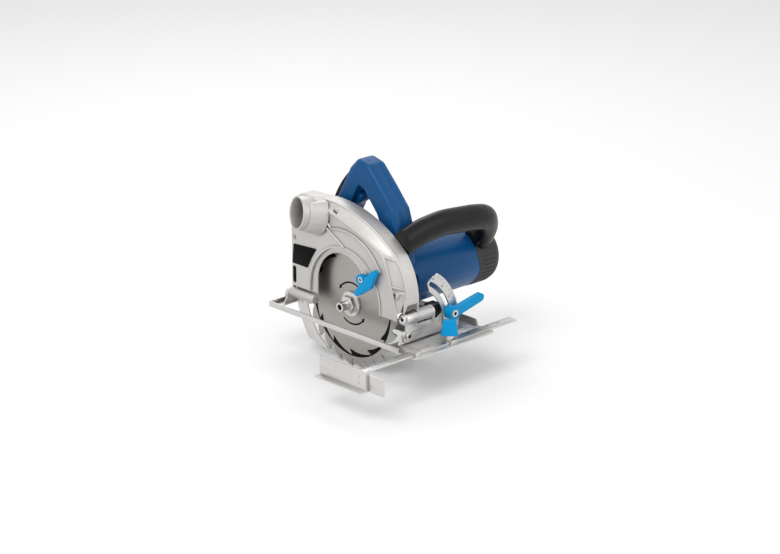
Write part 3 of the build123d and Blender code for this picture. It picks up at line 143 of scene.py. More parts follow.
def zincSteel():
    # zinc-plated pressed sheet: bright, with rolling streaks along X, dull patches and painted shade in the
    # corners
    look = {"light": "#DCDBD9", "dark": "#BDBAB7", "corner": "#45423F", "reach": 4.0, "patch": 30.0,
            "patchShare": 0.5, "streak": 1.6, "length": 80.0, "smooth": 0.3, "rough": 0.42, "bump": 0.12,
            "depth": 0.02}
    material, tree, shader, place = startMaterial("zincSteel", Metallic=1.0)
    stretch = addNode(tree, "ShaderNodeMapping",
                      {"Vector": place, "Scale": (look["streak"] / look["length"], 1, 1)})
    streak = addNode(tree, "ShaderNodeTexNoise",
                     {"Vector": stretch.outputs["Vector"], "Scale": perGrain(look["streak"]), "Detail": 3.0})
    patch = addNode(tree, "ShaderNodeTexNoise",
                    {"Vector": place, "Scale": perGrain(look["patch"]), "Detail": 3.0})
    both = addNode(tree, "ShaderNodeMix",
                   {"Factor": look["patchShare"], "A": streak.outputs["Fac"], "B": patch.outputs["Fac"]})
    tone = addNode(tree, "ShaderNodeMix",
                   {"Factor": both.outputs["Result"], "A": hexColour(look["dark"]),
                    "B": hexColour(look["light"])}, data_type="RGBA")
    # painted shade: where ambient occlusion finds nearby surfaces, the colour is mixed towards the dark
    # corner colour
    occlusion = addNode(tree, "ShaderNodeAmbientOcclusion", {"Distance": look["reach"] * mm},
                   only_local=True, samples=8)
    paintedShade = addNode(tree, "ShaderNodeMix",
                    {"Factor": occlusion.outputs["AO"], "A": hexColour(look["corner"]),
                     "B": tone.outputs["Result"]}, data_type="RGBA")
    rough = addNode(tree, "ShaderNodeMapRange",
                    {"Value": both.outputs["Result"], "To Min": look["rough"], "To Max": look["smooth"]})
    bump = addNode(tree, "ShaderNodeBump",
                   {"Height": streak.outputs["Fac"], "Strength": look["bump"],
                    "Distance": look["depth"] * mm})
    wirePattern(tree, shader, paintedShade, rough, bump)
    return material


def bladeSteel():
    # ground tool steel: fine rings of grinding marks about the arbor, drawn coarse enough to show
    look = {"light": "#B9B5B1", "dark": "#8D8A86", "ring": 0.9, "smooth": 0.28, "rough": 0.42, "bump": 0.2,
            "depth": 0.02}
    low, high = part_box("blade")
    material, tree, shader, place = startMaterial("bladeSteel", Metallic=1.0)
    fromArbor = addNode(tree, "ShaderNodeVectorMath", {0: place, 1: (low + high) / 2}, operation="SUBTRACT")
    radius = addNode(tree, "ShaderNodeVectorMath", {0: fromArbor.outputs["Vector"]}, operation="LENGTH")
    mark = addNode(tree, "ShaderNodeTexNoise",
                   {"W": radius.outputs["Value"], "Scale": perGrain(look["ring"]), "Detail": 3.0},
                   noise_dimensions="1D")
    tone = addNode(tree, "ShaderNodeMix",
                   {"Factor": mark.outputs["Fac"], "A": hexColour(look["dark"]),
                    "B": hexColour(look["light"])}, data_type="RGBA")
    rough = addNode(tree, "ShaderNodeMapRange",
                    {"Value": mark.outputs["Fac"], "To Min": look["rough"], "To Max": look["smooth"]})
    bump = addNode(tree, "ShaderNodeBump",
                   {"Height": mark.outputs["Fac"], "Strength": look["bump"],
                    "Distance": look["depth"] * mm})
    wirePattern(tree, shader, tone, rough, bump)
    return material


roughSpread = 0.06  # how far roughness strays either way from a look's own value


# moulded plastic: one colour with a little drift, and the spark-eroded grain of the mould
def mouldedPlastic(name, look):
    grainDepth = 0.04
    material, tree, shader, place = startMaterial(name, IOR=1.5, Specular_IOR_Level=look["shine"])
    drift = addNode(tree, "ShaderNodeTexNoise",
                    {"Vector": place, "Scale": perGrain(look["drift"]), "Detail": 2.0})
    grain = addNode(tree, "ShaderNodeTexNoise",
                    {"Vector": place, "Scale": perGrain(look["grain"]), "Detail": 2.0})
    tone = addNode(tree, "ShaderNodeMix",
                   {"Factor": drift.outputs["Fac"], "A": hexColour(look["dark"]),
                    "B": hexColour(look["light"])}, data_type="RGBA")
    rough = addNode(tree, "ShaderNodeMapRange",
                    {"Value": grain.outputs["Fac"], "To Min": look["rough"] - roughSpread,
                     "To Max": look["rough"] + roughSpread})
    bump = addNode(tree, "ShaderNodeBump",
                   {"Height": grain.outputs["Fac"], "Strength": look["bump"], "Distance": grainDepth * mm})
    wirePattern(tree, shader, tone, rough, bump)
    return material


# machined metal: one metal colour with turning or drawing marks of a given width
def machinedMetal(name, look):
    markBump, markDepth = 0.1, 0.02
    material, tree, shader, place = startMaterial(name, Metallic=1.0)
    mark = addNode(tree, "ShaderNodeTexNoise",
                   {"Vector": place, "Scale": perGrain(look["mark"]), "Detail": 3.0})
    tone = addNode(tree, "ShaderNodeMix",
                   {"Factor": mark.outputs["Fac"], "A": hexColour(look["dark"]),
                    "B": hexColour(look["light"])}, data_type="RGBA")
    rough = addNode(tree, "ShaderNodeMapRange",
                    {"Value": mark.outputs["Fac"], "To Min": look["rough"] - roughSpread,
                     "To Max": look["rough"] + roughSpread})
    bump = addNode(tree, "ShaderNodeBump",
                   {"Height": mark.outputs["Fac"], "Strength": markBump, "Distance": markDepth * mm})
    wirePattern(tree, shader, tone, rough, bump)
    return material


finishes = {
    "guard_cast": castAluminium(),
    "zinc_steel": zincSteel(),
    "blade_steel": bladeSteel(),
    # ABS shell, satin blue
    "housing_blue": mouldedPlastic("blueAbs", {
        "light": "#054F86", "dark": "#044474", "drift": 60.0, "grain": 0.6, "rough": 0.36, "bump": 0.1,
        "shine": 0.22}),
    # glass-filled nylon levers: strong bright blue, dry surface with little shine
    "lever_blue": mouldedPlastic("blueNylon", {
        "light": "#0094D0", "dark": "#0088C0", "drift": 25.0, "grain": 0.5, "rough": 0.36, "bump": 0.1,
        "shine": 0.12}),
    # black nylon with a fine leathery grain
    "black_plastic": mouldedPlastic("blackNylon", {
        "light": "#101010", "dark": "#0A0A0A", "drift": 30.0, "grain": 0.8, "rough": 0.34, "bump": 0.2,
        "shine": 0.25}),
    # dull grey ABS of the ventilated cap
    "cap_grey": mouldedPlastic("greyAbs", {
        "light": "#444444", "dark": "#373737", "drift": 25.0, "grain": 0.7, "rough": 0.55, "bump": 0.2,
        "shine": 0.2}),
    # soft rubber over-moulding: deep matt black with a coarse grain
    "soft_black": mouldedPlastic("softRubber", {
        "light": "#202020", "dark": "#171717", "drift": 20.0, "grain": 0.9, "rough": 0.72, "bump": 0.45,
        "shine": 0.25}),
    # printed foil: flat deep black, hardly any gloss
    "plate_black": mouldedPlastic("blackFoil", {
        "light": "#050505", "dark": "#020202", "drift": 12.0, "grain": 1.2, "rough": 0.5, "bump": 0.05,
        "shine": 0.08}),
    # pressed carbon of the brushes: dull grey-black
    "carbon": mouldedPlastic("pressedCarbon", {
        "light": "#232323", "dark": "#141414", "drift": 3.0, "grain": 0.3, "rough": 0.6, "bump": 0.3,
        "shine": 0.3}),
    # turned and ground steel: bright, with faint fine marks
    "bolt_steel": machinedMetal("turnedSteel", {
        "light": "#DDDBD9", "dark": "#C6C3C0", "mark": 0.5, "rough": 0.3}),
    # hardened gear steel, darker
    "gear_steel": machinedMetal("gearSteel", {
        "light": "#8B8A8C", "dark": "#66656A", "mark": 1.2, "rough": 0.34}),
    # stacked and lacquered electrical sheet: dark and dull
    "lamination": machinedMetal("electricalSteel", {
        "light": "#6D6C70", "dark": "#4A494E", "mark": 0.6, "rough": 0.5}),
    # enamelled copper: warm red-brown gloss
    "copper": machinedMetal("enamelledCopper", {
        "light": "#C9794A", "dark": "#A1552C", "mark": 0.9, "rough": 0.36}),
    # sintered bronze: dull gold with a fine open grain
    "bush_brass": machinedMetal("sinteredBronze", {
        "light": "#C9A455", "dark": "#9F7C39", "mark": 0.4, "rough": 0.4}),
}
for name, node in nodes.items():
    node.data.materials.clear()
    node.data.materials.append(finishes[slotOf[name]])
print("finishes made:", len(finishes))


# a finished mesh becomes a piece that rides on a body
def addPiece(name, mesh, body, slot):
    piece = bpy.data.objects.new(name, mesh)
    scene.collection.objects.link(piece)
    mesh.materials.clear()
    mesh.materials.append(finishes[slot])
    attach(piece, body)
    return piece


# live modifiers turned into a plain mesh
def plainMesh(piece):
    graph = bpy.context.evaluated_depsgraph_get()
    mesh = bpy.data.meshes.new_from_object(piece.evaluated_get(graph), depsgraph=graph)
    bpy.data.objects.remove(piece)
    return mesh


# shades a mesh smooth except at edges sharper than the angle
def shadeByAngle(mesh, degrees):
    mesh.shade_smooth()
    mesh.set_sharp_from_angle(angle=math.radians(degrees))


# a copy of a node with its sharp edges broken, as moulding, casting or deburring leaves them
def softenNode(node, width, sharp, segments=2, flat=0.6):
    seam = 0.002 * mm  # doubles closer than this are merged
    shadeMargin = 4  # degrees past the bevelled angle at which shading breaks
    mesh = nodes[node].data.copy()
    work = bmesh.new()
    work.from_mesh(mesh)
    bmesh.ops.remove_doubles(work, verts=work.verts, dist=seam)
    bmesh.ops.dissolve_limit(work, angle_limit=math.radians(flat), verts=work.verts,
                             edges=work.edges)
    work.to_mesh(mesh)
    work.free()
    draft = bpy.data.objects.new(node + "Draft", mesh)
    scene.collection.objects.link(draft)
    edge = draft.modifiers.new("brokenEdges", "BEVEL")
    edge.width = width * mm
    edge.segments = segments
    edge.limit_method = "ANGLE"
    edge.angle_limit = math.radians(sharp)
    edge.use_clamp_overlap = True
    soft = plainMesh(draft)
    shadeByAngle(soft, sharp + shadeMargin)
    piece = addPiece(node + "Shape", soft, bodyOf[node], slotOf[node])
    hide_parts(node)


edgeWidths = {
    "upper_guard": 0.9, "dust_port": 0.6, "lower_guard": 0.6, "guard_lever": 1.0, "gear_case": 1.0,
    "base_plate": 0.5, "guide_straps": 0.5, "quadrant": 0.4, "bevel_bracket": 0.5, "rear_bracket": 0.5,
    "guide_bar": 0.3, "fence": 0.4, "riving_knife": 0.3, "knife_holder": 0.4,
    "motor_housing": 0.7, "end_cap": 0.6, "handle_right": 0.9, "handle_left": 0.9, "soft_grip": 0.6,
    "front_handle": 1.2, "trigger": 1.2, "lock_button": 0.6, "spindle_lock": 0.6, "cable_gland": 0.6,
    "wing_screw": 1.4, "bevel_lever": 1.2, "depth_lever": 1.2, "pivot_cover": 0.8,
    "outer_flange": 0.5, "arbor_bolt": 0.5, "bevel_pivots": 0.4, "depth_pin": 0.4, "bevel_clamp_screw": 0.4,
    "name_plate": 0.2, "guard_screws": 0.3, "guard_lever_screw": 0.3, "fence_rivets": 0.3,
}
usualCrease = 34  # degrees
creaseAngles = {"upper_guard": 16}
for node, width in edgeWidths.items():
    softenNode(node, width, creaseAngles.get(node, usualCrease))
print("edges broken on", len(edgeWidths), "pieces")


# a closed plate: an outline in millimetres, drawn out along one axis
def plateMesh(name, outline, axis, low, high):
    orders = {"x": lambda u, v, t: (t, u, v), "y": lambda u, v, t: (u, t, v), "z": lambda u, v, t: (u, v, t)}
    order = orders[axis]
    work = bmesh.new()
    ends = [[work.verts.new(Vector(order(u, v, t)) * mm) for u, v in outline] for t in (low, high)]
    work.faces.new(ends[0])
    work.faces.new(ends[1])
    for i in range(len(outline)):
        j = (i + 1) % len(outline)
        work.faces.new((ends[0][i], ends[0][j], ends[1][j], ends[1][i]))
    bmesh.ops.recalc_face_normals(work, faces=work.faces)
    bmesh.ops.triangulate(work, faces=[face for face in work.faces if len(face.verts) > 4])
    mesh = bpy.data.meshes.new(name)
    work.to_mesh(mesh)
    work.free()
    return mesh


# points of an arc, in millimetres and degrees
def arcPoints(centre, radius, start, end, count):
    turns = [math.radians(start + (end - start) * i / (count - 1)) for i in range(count)]
    return [(centre[0] + radius * math.cos(a), centre[1] + radius * math.sin(a)) for a in turns]


# node tree that repeats a piece by a step and a turn, with every so many copies made longer
def repeatTree():
    tree = bpy.data.node_groups.new("repeatPiece", "GeometryNodeTree")
    tree.interface.new_socket("Geometry", in_out="INPUT", socket_type="NodeSocketGeometry")
    kinds = {"Count": "Int", "Step": "Vector", "Turn": "Vector", "Centre": "Vector", "Long Every": "Int",
             "Long Scale": "Vector", "Finish": "Material"}
    for name, kind in kinds.items():
        tree.interface.new_socket(name, in_out="INPUT", socket_type="NodeSocket" + kind)
    tree.interface.new_socket("Geometry", in_out="OUTPUT", socket_type="NodeSocketGeometry")
    given = addNode(tree, "NodeGroupInput").outputs
    away = addNode(tree, "ShaderNodeVectorMath", {0: given["Centre"], 1: (-1, -1, -1)}, operation="MULTIPLY")
    home = addNode(tree, "GeometryNodeTransform",
                   {"Geometry": given["Geometry"], "Translation": away.outputs[0]})
    line = addNode(tree, "GeometryNodeMeshLine",
                   {"Count": given["Count"], "Start Location": given["Centre"], "Offset": given["Step"]})
    index = addNode(tree, "GeometryNodeInputIndex").outputs["Index"]
    turn = addNode(tree, "ShaderNodeVectorMath", {0: given["Turn"], 1: index}, operation="MULTIPLY")
    rest = addNode(tree, "ShaderNodeMath", {0: index, 1: given["Long Every"]}, operation="MODULO")
    isLong = addNode(tree, "ShaderNodeMath", {0: rest.outputs[0], 1: 0.5}, operation="LESS_THAN")
    scale = addNode(tree, "ShaderNodeMix",
                    {"Factor": isLong.outputs[0], 4: (1, 1, 1), 5: given["Long Scale"]}, data_type="VECTOR")
    copies = addNode(tree, "GeometryNodeInstanceOnPoints",
                     {"Points": line.outputs["Mesh"], "Instance": home.outputs["Geometry"],
                      "Rotation": turn.outputs[0], "Scale": scale.outputs[1]})
    real = addNode(tree, "GeometryNodeRealizeInstances", {"Geometry": copies.outputs["Instances"]})
    finish = addNode(tree, "GeometryNodeSetMaterial",
                     {"Geometry": real.outputs["Geometry"], "Material": given["Finish"]})
    addNode(tree, "NodeGroupOutput", {"Geometry": finish.outputs["Geometry"]})
    return tree


# node tree that draws a round bead along a path of edges
def beadTree():
    tree = bpy.data.node_groups.new("beadOnPath", "GeometryNodeTree")
    tree.interface.new_socket("Geometry", in_out="INPUT", socket_type="NodeSocketGeometry")
    for name, kind in {"Radius": "Float", "Sides": "Int", "Finish": "Material"}.items():
        tree.interface.new_socket(name, in_out="INPUT", socket_type="NodeSocket" + kind)
    tree.interface.new_socket("Geometry", in_out="OUTPUT", socket_type="NodeSocketGeometry")
    given = addNode(tree, "NodeGroupInput").outputs
    path = addNode(tree, "GeometryNodeMeshToCurve", {"Mesh": given["Geometry"]})
    ring = addNode(tree, "GeometryNodeCurvePrimitiveCircle",
                   {"Resolution": given["Sides"], "Radius": given["Radius"]})
    tube = addNode(tree, "GeometryNodeCurveToMesh",
                   {"Curve": path.outputs["Curve"], "Profile Curve": ring.outputs["Curve"],
                    "Fill Caps": True})
    real = addNode(tree, "GeometryNodeRealizeInstances", {"Geometry": tube.outputs["Mesh"]})
    finish = addNode(tree, "GeometryNodeSetMaterial",
                     {"Geometry": real.outputs["Geometry"], "Material": given["Finish"]})
    addNode(tree, "NodeGroupOutput", {"Geometry": finish.outputs["Geometry"]})
    return tree


trees = {"repeat": repeatTree(), "bead": beadTree()}


# runs a node tree on a mesh with its named inputs and keeps the plain result
def runTree(kind, mesh, **values):
    draft = bpy.data.objects.new(mesh.name + "Draft", mesh)
    scene.collection.objects.link(draft)
    modifier = draft.modifiers.new(kind, "NODES")
    modifier.node_group = trees[kind]
    for item in trees[kind].interface.items_tree:
        name = item.name.replace(" ", "")
        if item.in_out == "INPUT" and name in values:
            modifier[item.identifier] = values[name]
    return plainMesh(draft)


# copies of a small mesh by a step in millimetres or a turn in degrees
def repeatMesh(mesh, slot, count, step=(0, 0, 0), turn=(0, 0, 0), centre=(0, 0, 0), longEvery=1,
               longScale=(1, 1, 1)):
    return runTree("repeat", mesh, Count=count, Step=[v * mm for v in step],
                   Turn=[math.radians(v) for v in turn], Centre=[v * mm for v in centre],
                   LongEvery=longEvery, LongScale=longScale, Finish=finishes[slot])


beadCrease = 50  # degrees past which a bead's shading breaks


# a bead along points in millimetres
def beadMesh(name, points, slot, radius, sides=12):
    path = bpy.data.meshes.new(name)
    path.from_pydata([Vector(p) * mm for p in points], [(i, i + 1) for i in range(len(points) - 1)], [])
    mesh = runTree("bead", path, Radius=radius * mm, Sides=sides, Finish=finishes[slot])
    shadeByAngle(mesh, beadCrease)
    return mesh


# several meshes in one
def joinMeshes(name, meshes):
    work = bmesh.new()
    for mesh in meshes:
        work.from_mesh(mesh)
    joined = bpy.data.meshes.new(name)
    work.to_mesh(joined)
    work.free()
    return joined


# printed numbers as thin closed plates, each with its own place
def numberMesh(name, rows, height, thick):
    made = []
    for text, place in rows:
        curve = bpy.data.curves.new(name + text, "FONT")
        curve.body = text
        curve.size = height * mm
        curve.extrude = thick * mm / 2
        curve.align_x = "CENTER"
        curve.align_y = "CENTER"
        draft = bpy.data.objects.new(name + text, curve)
        scene.collection.objects.link(draft)
        mesh = plainMesh(draft)
        mesh.transform(place)
        made.append(mesh)
    return joinMeshes(name, made)


arborAt = [(a + b) / 2 / mm for a, b in zip(*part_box("blade"))]


# black print on the blade: a ring with a flame-like inner edge, and two arrows for the turning direction
def bladePrint():
    look = {"outer": 80.0, "thin": 2.0, "thick": 10.0, "lean": 4.0, "flames": 12, "flameSteps": 12,
            "flameBend": 0.7, "arrows": 2, "arrow": 31.0, "line": 2.6, "head": 7.0, "headWide": 2.6,
            "sweep": 80.0, "start": 56.0, "arrowSteps": 22, "plate": 1.6, "ink": 0.05, "sunk": 0.02}
    x, y, z = arborAt
    front = y - look["plate"] / 2

    def onBlade(radius, degrees):
        a = math.radians(degrees)
        return (x + radius * math.cos(a), z + radius * math.sin(a))

    def printed(name, outline):
        return plateMesh(name, outline, "y", front - look["ink"], front + look["sunk"])

    pitch = 360 / look["flames"]
    inner = []
    for i in range(1, look["flameSteps"] + 1):
        share = i / look["flameSteps"]
        deep = look["thick"] + (look["thin"] - look["thick"]) * share ** look["flameBend"]
        inner.append(onBlade(look["outer"] - deep, pitch * share))
    hook = onBlade(look["outer"] - look["thick"], -look["lean"])
    root = onBlade(look["outer"] - look["thin"], 0)
    rim = arcPoints((x, z), look["outer"], 0, pitch, look["flameSteps"] + 1)
    flame = printed("bladeRing", rim + inner[::-1] + [hook, root])
    ring = repeatMesh(flame, "plate_black", look["flames"], turn=(0, -pitch, 0), centre=arborAt)
    end = look["start"] + look["sweep"]
    half = look["line"] / 2
    wide = half * look["headWide"]
    shaft = arcPoints((x, z), look["arrow"] + half, look["start"], end, look["arrowSteps"])
    back = arcPoints((x, z), look["arrow"] - half, end, look["start"], look["arrowSteps"])
    reach = math.degrees(look["head"] / look["arrow"])
    barb = [onBlade(look["arrow"] + wide, end), onBlade(look["arrow"], end + reach),
            onBlade(look["arrow"] - wide, end)]
    arrow = printed("bladeArrow", shaft + barb + back)
    arrows = repeatMesh(arrow, "plate_black", look["arrows"], turn=(0, -360 / look["arrows"], 0),
                        centre=arborAt)
    addPiece("bladePrint", joinMeshes("bladePrint", [ring, arrows]), bodyOf["blade"], "plate_black")


# tilt scale on the quadrant: a line every 5 degrees and a plain number every 15
def quadrantScale():
    look = {"pivot": (-6.0, 13.0), "zero": 13.4, "span": 45, "every": 5, "inner": 91.0, "tick": 3.0,
            "width": 0.45, "ink": 0.05, "sunk": 0.05, "number": 4.6, "numberAt": 86.8, "numberEvery": 15,
            "plate": 2.5}
    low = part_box("quadrant")[0]
    face = low.x / mm + look["plate"]
    py, pz = look["pivot"]
    a = math.radians(look["zero"])
    along = Vector((math.cos(a), math.sin(a)))
    across = Vector((-along.y, along.x)) * look["width"] / 2
    near = Vector((py, pz)) + along * look["inner"]
    far = near + along * look["tick"]
    outline = [near - across, far - across, far + across, near + across]
    tick = plateMesh("tiltTick", outline, "x", face - look["sunk"], face + look["ink"])
    count = look["span"] // look["every"] + 1
    ticks = repeatMesh(tick, "plate_black", count, turn=(look["every"], 0, 0), centre=(face, py, pz))
    facing = Matrix(((0, 0, 1), (1, 0, 0), (0, 1, 0))).to_4x4()
    rows = []
    for value in range(0, look["span"] + 1, look["numberEvery"]):
        turn = math.radians(look["zero"] + value)
        out = Vector((0, math.cos(turn), math.sin(turn))) * look["numberAt"]
        at = Matrix.Translation((Vector((face, py, pz)) + out) * mm)
        rows.append((str(value), at @ Matrix.Rotation(turn - math.pi / 2, 4, "X") @ facing))
    numbers = numberMesh("tiltNumbers", rows, look["number"], look["ink"] * 2)
    mesh = joinMeshes("quadrantScale", [ticks, numbers])
    addPiece("quadrantScale", mesh, bodyOf["quadrant"], "plate_black")


# scale on the guide bar: a line every 2 mm, longer every 10, and a plain number every 20
def barScale():
    look = {"every": 2.0, "width": 0.3, "tick": 3.0, "longEvery": 5, "longScale": 1.7, "margin": 12.0,
            "ink": 0.05, "sunk": 0.05, "number": 4.4, "numberEvery": 20, "numberUnit": 10, "numberBack": 2.0}
    low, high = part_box("guide_bar")
    top = high.z / mm
    x1 = high.x / mm
    y0 = low.y / mm + look["margin"]
    y1 = high.y / mm - look["margin"]
    half = look["width"] / 2
    x0 = x1 - look["tick"]
    outline = [(x0, y0 - half), (x1, y0 - half), (x1, y0 + half), (x0, y0 + half)]
    tick = plateMesh("barTick", outline, "z", top - look["sunk"], top + look["ink"])
    count = int((y1 - y0) / look["every"]) + 1
    ticks = repeatMesh(tick, "plate_black", count, step=(0, look["every"], 0), centre=(x1, y0, top),
                       longEvery=look["longEvery"], longScale=(look["longScale"], 1, 1))
    middle = (low.x + high.x) / 2 / mm - look["numberBack"]
    facing = Matrix.Rotation(math.pi / 2, 4, "Z")
    rows = []
    for value in range(0, int(y1 - y0) + 1, look["numberEvery"]):
        at = Matrix.Translation(Vector((middle, y0 + value, top)) * mm)
        rows.append((str(value // look["numberUnit"]), at @ facing))
    numbers = numberMesh("barNumbers", rows, look["number"], look["ink"] * 2)
    addPiece("barScale", joinMeshes("barScale", [ticks, numbers]), bodyOf["guide_bar"], "plate_black")


# end cap: ribs along the motor all round, and the wavy skirt that laps over the housing
def capDetail():
    look = {"ribs": 40, "width": 3.4, "height": 0.9, "lap": 3.0, "dome": 14.0, "sunk": 0.6, "waves": 5,
            "skirt": 8.0, "wave": 2.5, "thick": 0.45, "around": 160, "ribStart": 1.0, "ribTip": 1.0,
            "ribFall": 3.0, "ribDrop": 0.2, "skirtSunk": 0.2, "skirtBehind": 2.0, "lipDrop": 0.15,
            "lipBack": 0.4, "crease": 30}
    low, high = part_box("end_cap")
    x = (low.x + high.x) / 2 / mm
    z = (low.z + high.z) / 2 / mm
    radius = (high.z - low.z) / 2 / mm
    half = look["width"] / 2
    base = radius - look["sunk"]
    crest = radius + look["height"]
    edge = low.y / mm
    start = edge - look["lap"]
    end = high.y / mm - look["dome"]
    outline = [(start, z + base), (end, z + base), (end - look["ribTip"], z + crest - look["ribDrop"]),
               (end - look["ribFall"], z + crest), (start + look["ribStart"], z + crest)]
    rib = plateMesh("capRib", outline, "x", x - half, x + half)
    ribs = repeatMesh(rib, "cap_grey", look["ribs"], turn=(0, 360 / look["ribs"], 0), centre=(x, 0, z))
    under = radius - look["skirtSunk"]
    over = radius + look["thick"]
    behind = edge + look["skirtBehind"]
    work = bmesh.new()
    rows = []
    for i in range(look["around"]):
        a = 2 * math.pi * i / look["around"]
        front = edge - look["skirt"] - look["wave"] * math.sin(look["waves"] * a)
        corners = [(under, behind), (under, front), (over - look["lipDrop"], front),
                   (over, front + look["lipBack"]), (over, behind)]
        rows.append([work.verts.new(Vector((x + r * math.cos(a), y, z + r * math.sin(a))) * mm)
                     for r, y in corners])
    for i in range(look["around"]):
        here = rows[i]
        after = rows[(i + 1) % look["around"]]
        for j in range(len(here)):
            k = (j + 1) % len(here)
            work.faces.new((here[j], here[k], after[k], after[j]))
    bmesh.ops.recalc_face_normals(work, faces=work.faces)
    skirt = bpy.data.meshes.new("capSkirt")
    work.to_mesh(skirt)
    work.free()
    mesh = joinMeshes("capDetail", [ribs, skirt])
    shadeByAngle(mesh, look["crease"])
    addPiece("capDetail", mesh, bodyOf["end_cap"], "cap_grey")


# cross ribs on the soft grip, along its swelling back
def gripRibs():
    look = {"foot": (-80.0, 133.0), "top": (-30.0, 221.0), "from": 0.2, "to": 0.8, "ribs": 15, "bulge": 5.0,
            "radius": 0.9, "half": 10.0, "proud": 0.35, "crown": 0.45, "reach": 0.39, "sides": 10}
    low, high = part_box("soft_grip")
    middle = (low.y + high.y) / 2 / mm
    foot = Vector(look["foot"])
    back = Vector(look["top"]) - foot
    out = Vector((-back.y, back.x)).normalized()
    made = []
    for i in range(look["ribs"]):
        t = look["from"] + (look["to"] - look["from"]) * i / (look["ribs"] - 1)
        swell = look["bulge"] * (1 - ((t - look["crown"]) / look["reach"]) ** 2)
        at = foot + back * t + out * (swell - look["radius"] + look["proud"])
        made.append([(at.x, middle - look["half"], at.y), (at.x, middle + look["half"], at.y)])
    ribs = [beadMesh("gripRib", points, "soft_black", look["radius"], look["sides"]) for points in made]
    mesh = joinMeshes("gripRibs", ribs)
    shadeByAngle(mesh, beadCrease)
    addPiece("gripRibs", mesh, bodyOf["soft_grip"], "soft_black")


# rolled edge along the arch of the lower guard
def lowerGuardBead():
    look = {"centre": (-4.0, 54.0), "arch": 52.0, "in": 1.6, "radius": 1.3, "proud": 0.5, "plate": -15.5,
            "from": 10, "to": 180, "foot": 34.0, "steps": 40}
    cx, cz = look["centre"]
    y = look["plate"] + look["radius"] - look["proud"]
    arc = arcPoints((cx, cz), look["arch"] + look["in"], look["from"], look["to"], look["steps"])
    points = [(px, y, pz) for px, pz in arc] + [(arc[-1][0], y, look["foot"])]
    addPiece("lowerGuardBead", beadMesh("lowerGuardBead", points, "guard_cast", look["radius"]),
             bodyOf["lower_guard"], "guard_cast")


# points of the arc from one point through a second to a third, in millimetres
def arcThrough(a, b, c, count):
    (ax, ay), (bx, by), (cx, cy) = a, b, c
    d = 2 * (ax * (by - cy) + bx * (cy - ay) + cx * (ay - by))
    sa, sb, sc = ax * ax + ay * ay, bx * bx + by * by, cx * cx + cy * cy
    centre = ((sa * (by - cy) + sb * (cy - ay) + sc * (ay - by)) / d,
              (sa * (cx - bx) + sb * (ax - cx) + sc * (bx - ax)) / d)
    turns = [math.degrees(math.atan2(y - centre[1], x - centre[0])) for x, y in (a, c)]
    return arcPoints(centre, math.hypot(ax - centre[0], ay - centre[1]), turns[0], turns[1], count)


# cast ridges along the edges of the guard's roof and front wall, crests on its ribs, and two cross steps
def guardRidges():
    look = {"edges": ({"front": ((109.0, 35.0), (98.0, 84.0), (80.0, 127.0)),
                       "top": ((80.0, 127.0), (30.0, 148.0), (-24.0, 163.4)),
                       "plane": -19.0, "inward": 0.7, "skip": 0},
                      {"front": ((118.0, 35.0), (119.0, 81.0), (97.0, 124.0)),
                       "top": ((97.0, 124.0), (55.0, 153.0), (-45.0, 176.0)),
                       "plane": -8.0, "inward": 0.9, "skip": 8}),
            "radius": 2.2, "proud": 0.7, "steps": 24, "face": -19.0, "ribHeight": 1.8, "ribRadius": 1.7,
            "ribProud": 0.7, "arc": (2.0, 56.0), "arcRadius": 87.5, "arcFrom": 30.0, "arcTo": 105.0,
            "ribs": (((-35.0, 141.4), (4.0, 118.1)), ((-39.2, 154.4), (-23.0, 141.8))), "stepRadius": 1.1,
            "across": (((80.0, -18.2, 126.2), (96.0, -8.6, 122.5)),
                       ((98.2, -18.0, 82.5), (118.0, -8.6, 81.0)))}
    x, z = arborAt[0], arborAt[2]
    depth = look["radius"] - look["proud"]
    made = []
    for edge in look["edges"]:
        front = arcThrough(*edge["front"], look["steps"])[edge["skip"]:]
        top = arcThrough(*edge["top"], look["steps"])[1:]
        inward = edge["inward"]
        back = math.sqrt(1 - inward * inward)
        points = []
        for px, pz in front + top:
            k = 1 - inward * depth / math.hypot(px - x, pz - z)
            points.append((x + (px - x) * k, edge["plane"] + back * depth, z + (pz - z) * k))
        made.append(beadMesh("guardRidge", points, "guard_cast", look["radius"]))
    crest = look["face"] - look["ribHeight"] + look["ribRadius"] - look["ribProud"]
    arc = arcPoints(look["arc"], look["arcRadius"], look["arcFrom"], look["arcTo"], look["steps"] * 2)
    for path in (arc, *look["ribs"]):
        points = [(px, crest, pz) for px, pz in path]
        made.append(beadMesh("guardRib", points, "guard_cast", look["ribRadius"]))
    for ends in look["across"]:
        made.append(beadMesh("guardStep", ends, "guard_cast", look["stepRadius"]))
    mesh = joinMeshes("guardRidges", made)
    shadeByAngle(mesh, beadCrease)
    addPiece("guardRidges", mesh, bodyOf["upper_guard"], "guard_cast")


# black blank that closes the slot in the guard's rear leg, a dark sheet painted in as the shade inside the
# slot
def legSlotBlank():
    look = {"centre": (-101.8, 52.5), "length": 26.0, "width": 7.5, "gap": 0.1, "front": -18.2,
            "back": -16.8, "steps": 10}
    x, z = look["centre"]
    half = look["width"] / 2 - look["gap"]
    reach = (look["length"] - look["width"]) / 2
    outline = (arcPoints((x, z + reach), half, 0, 180, look["steps"])
               + arcPoints((x, z - reach), half, 180, 360, look["steps"]))
    addPiece("legSlotBlank", plateMesh("legSlotBlank", outline, "y", look["front"], look["back"]),
             bodyOf["upper_guard"], "plate_black")
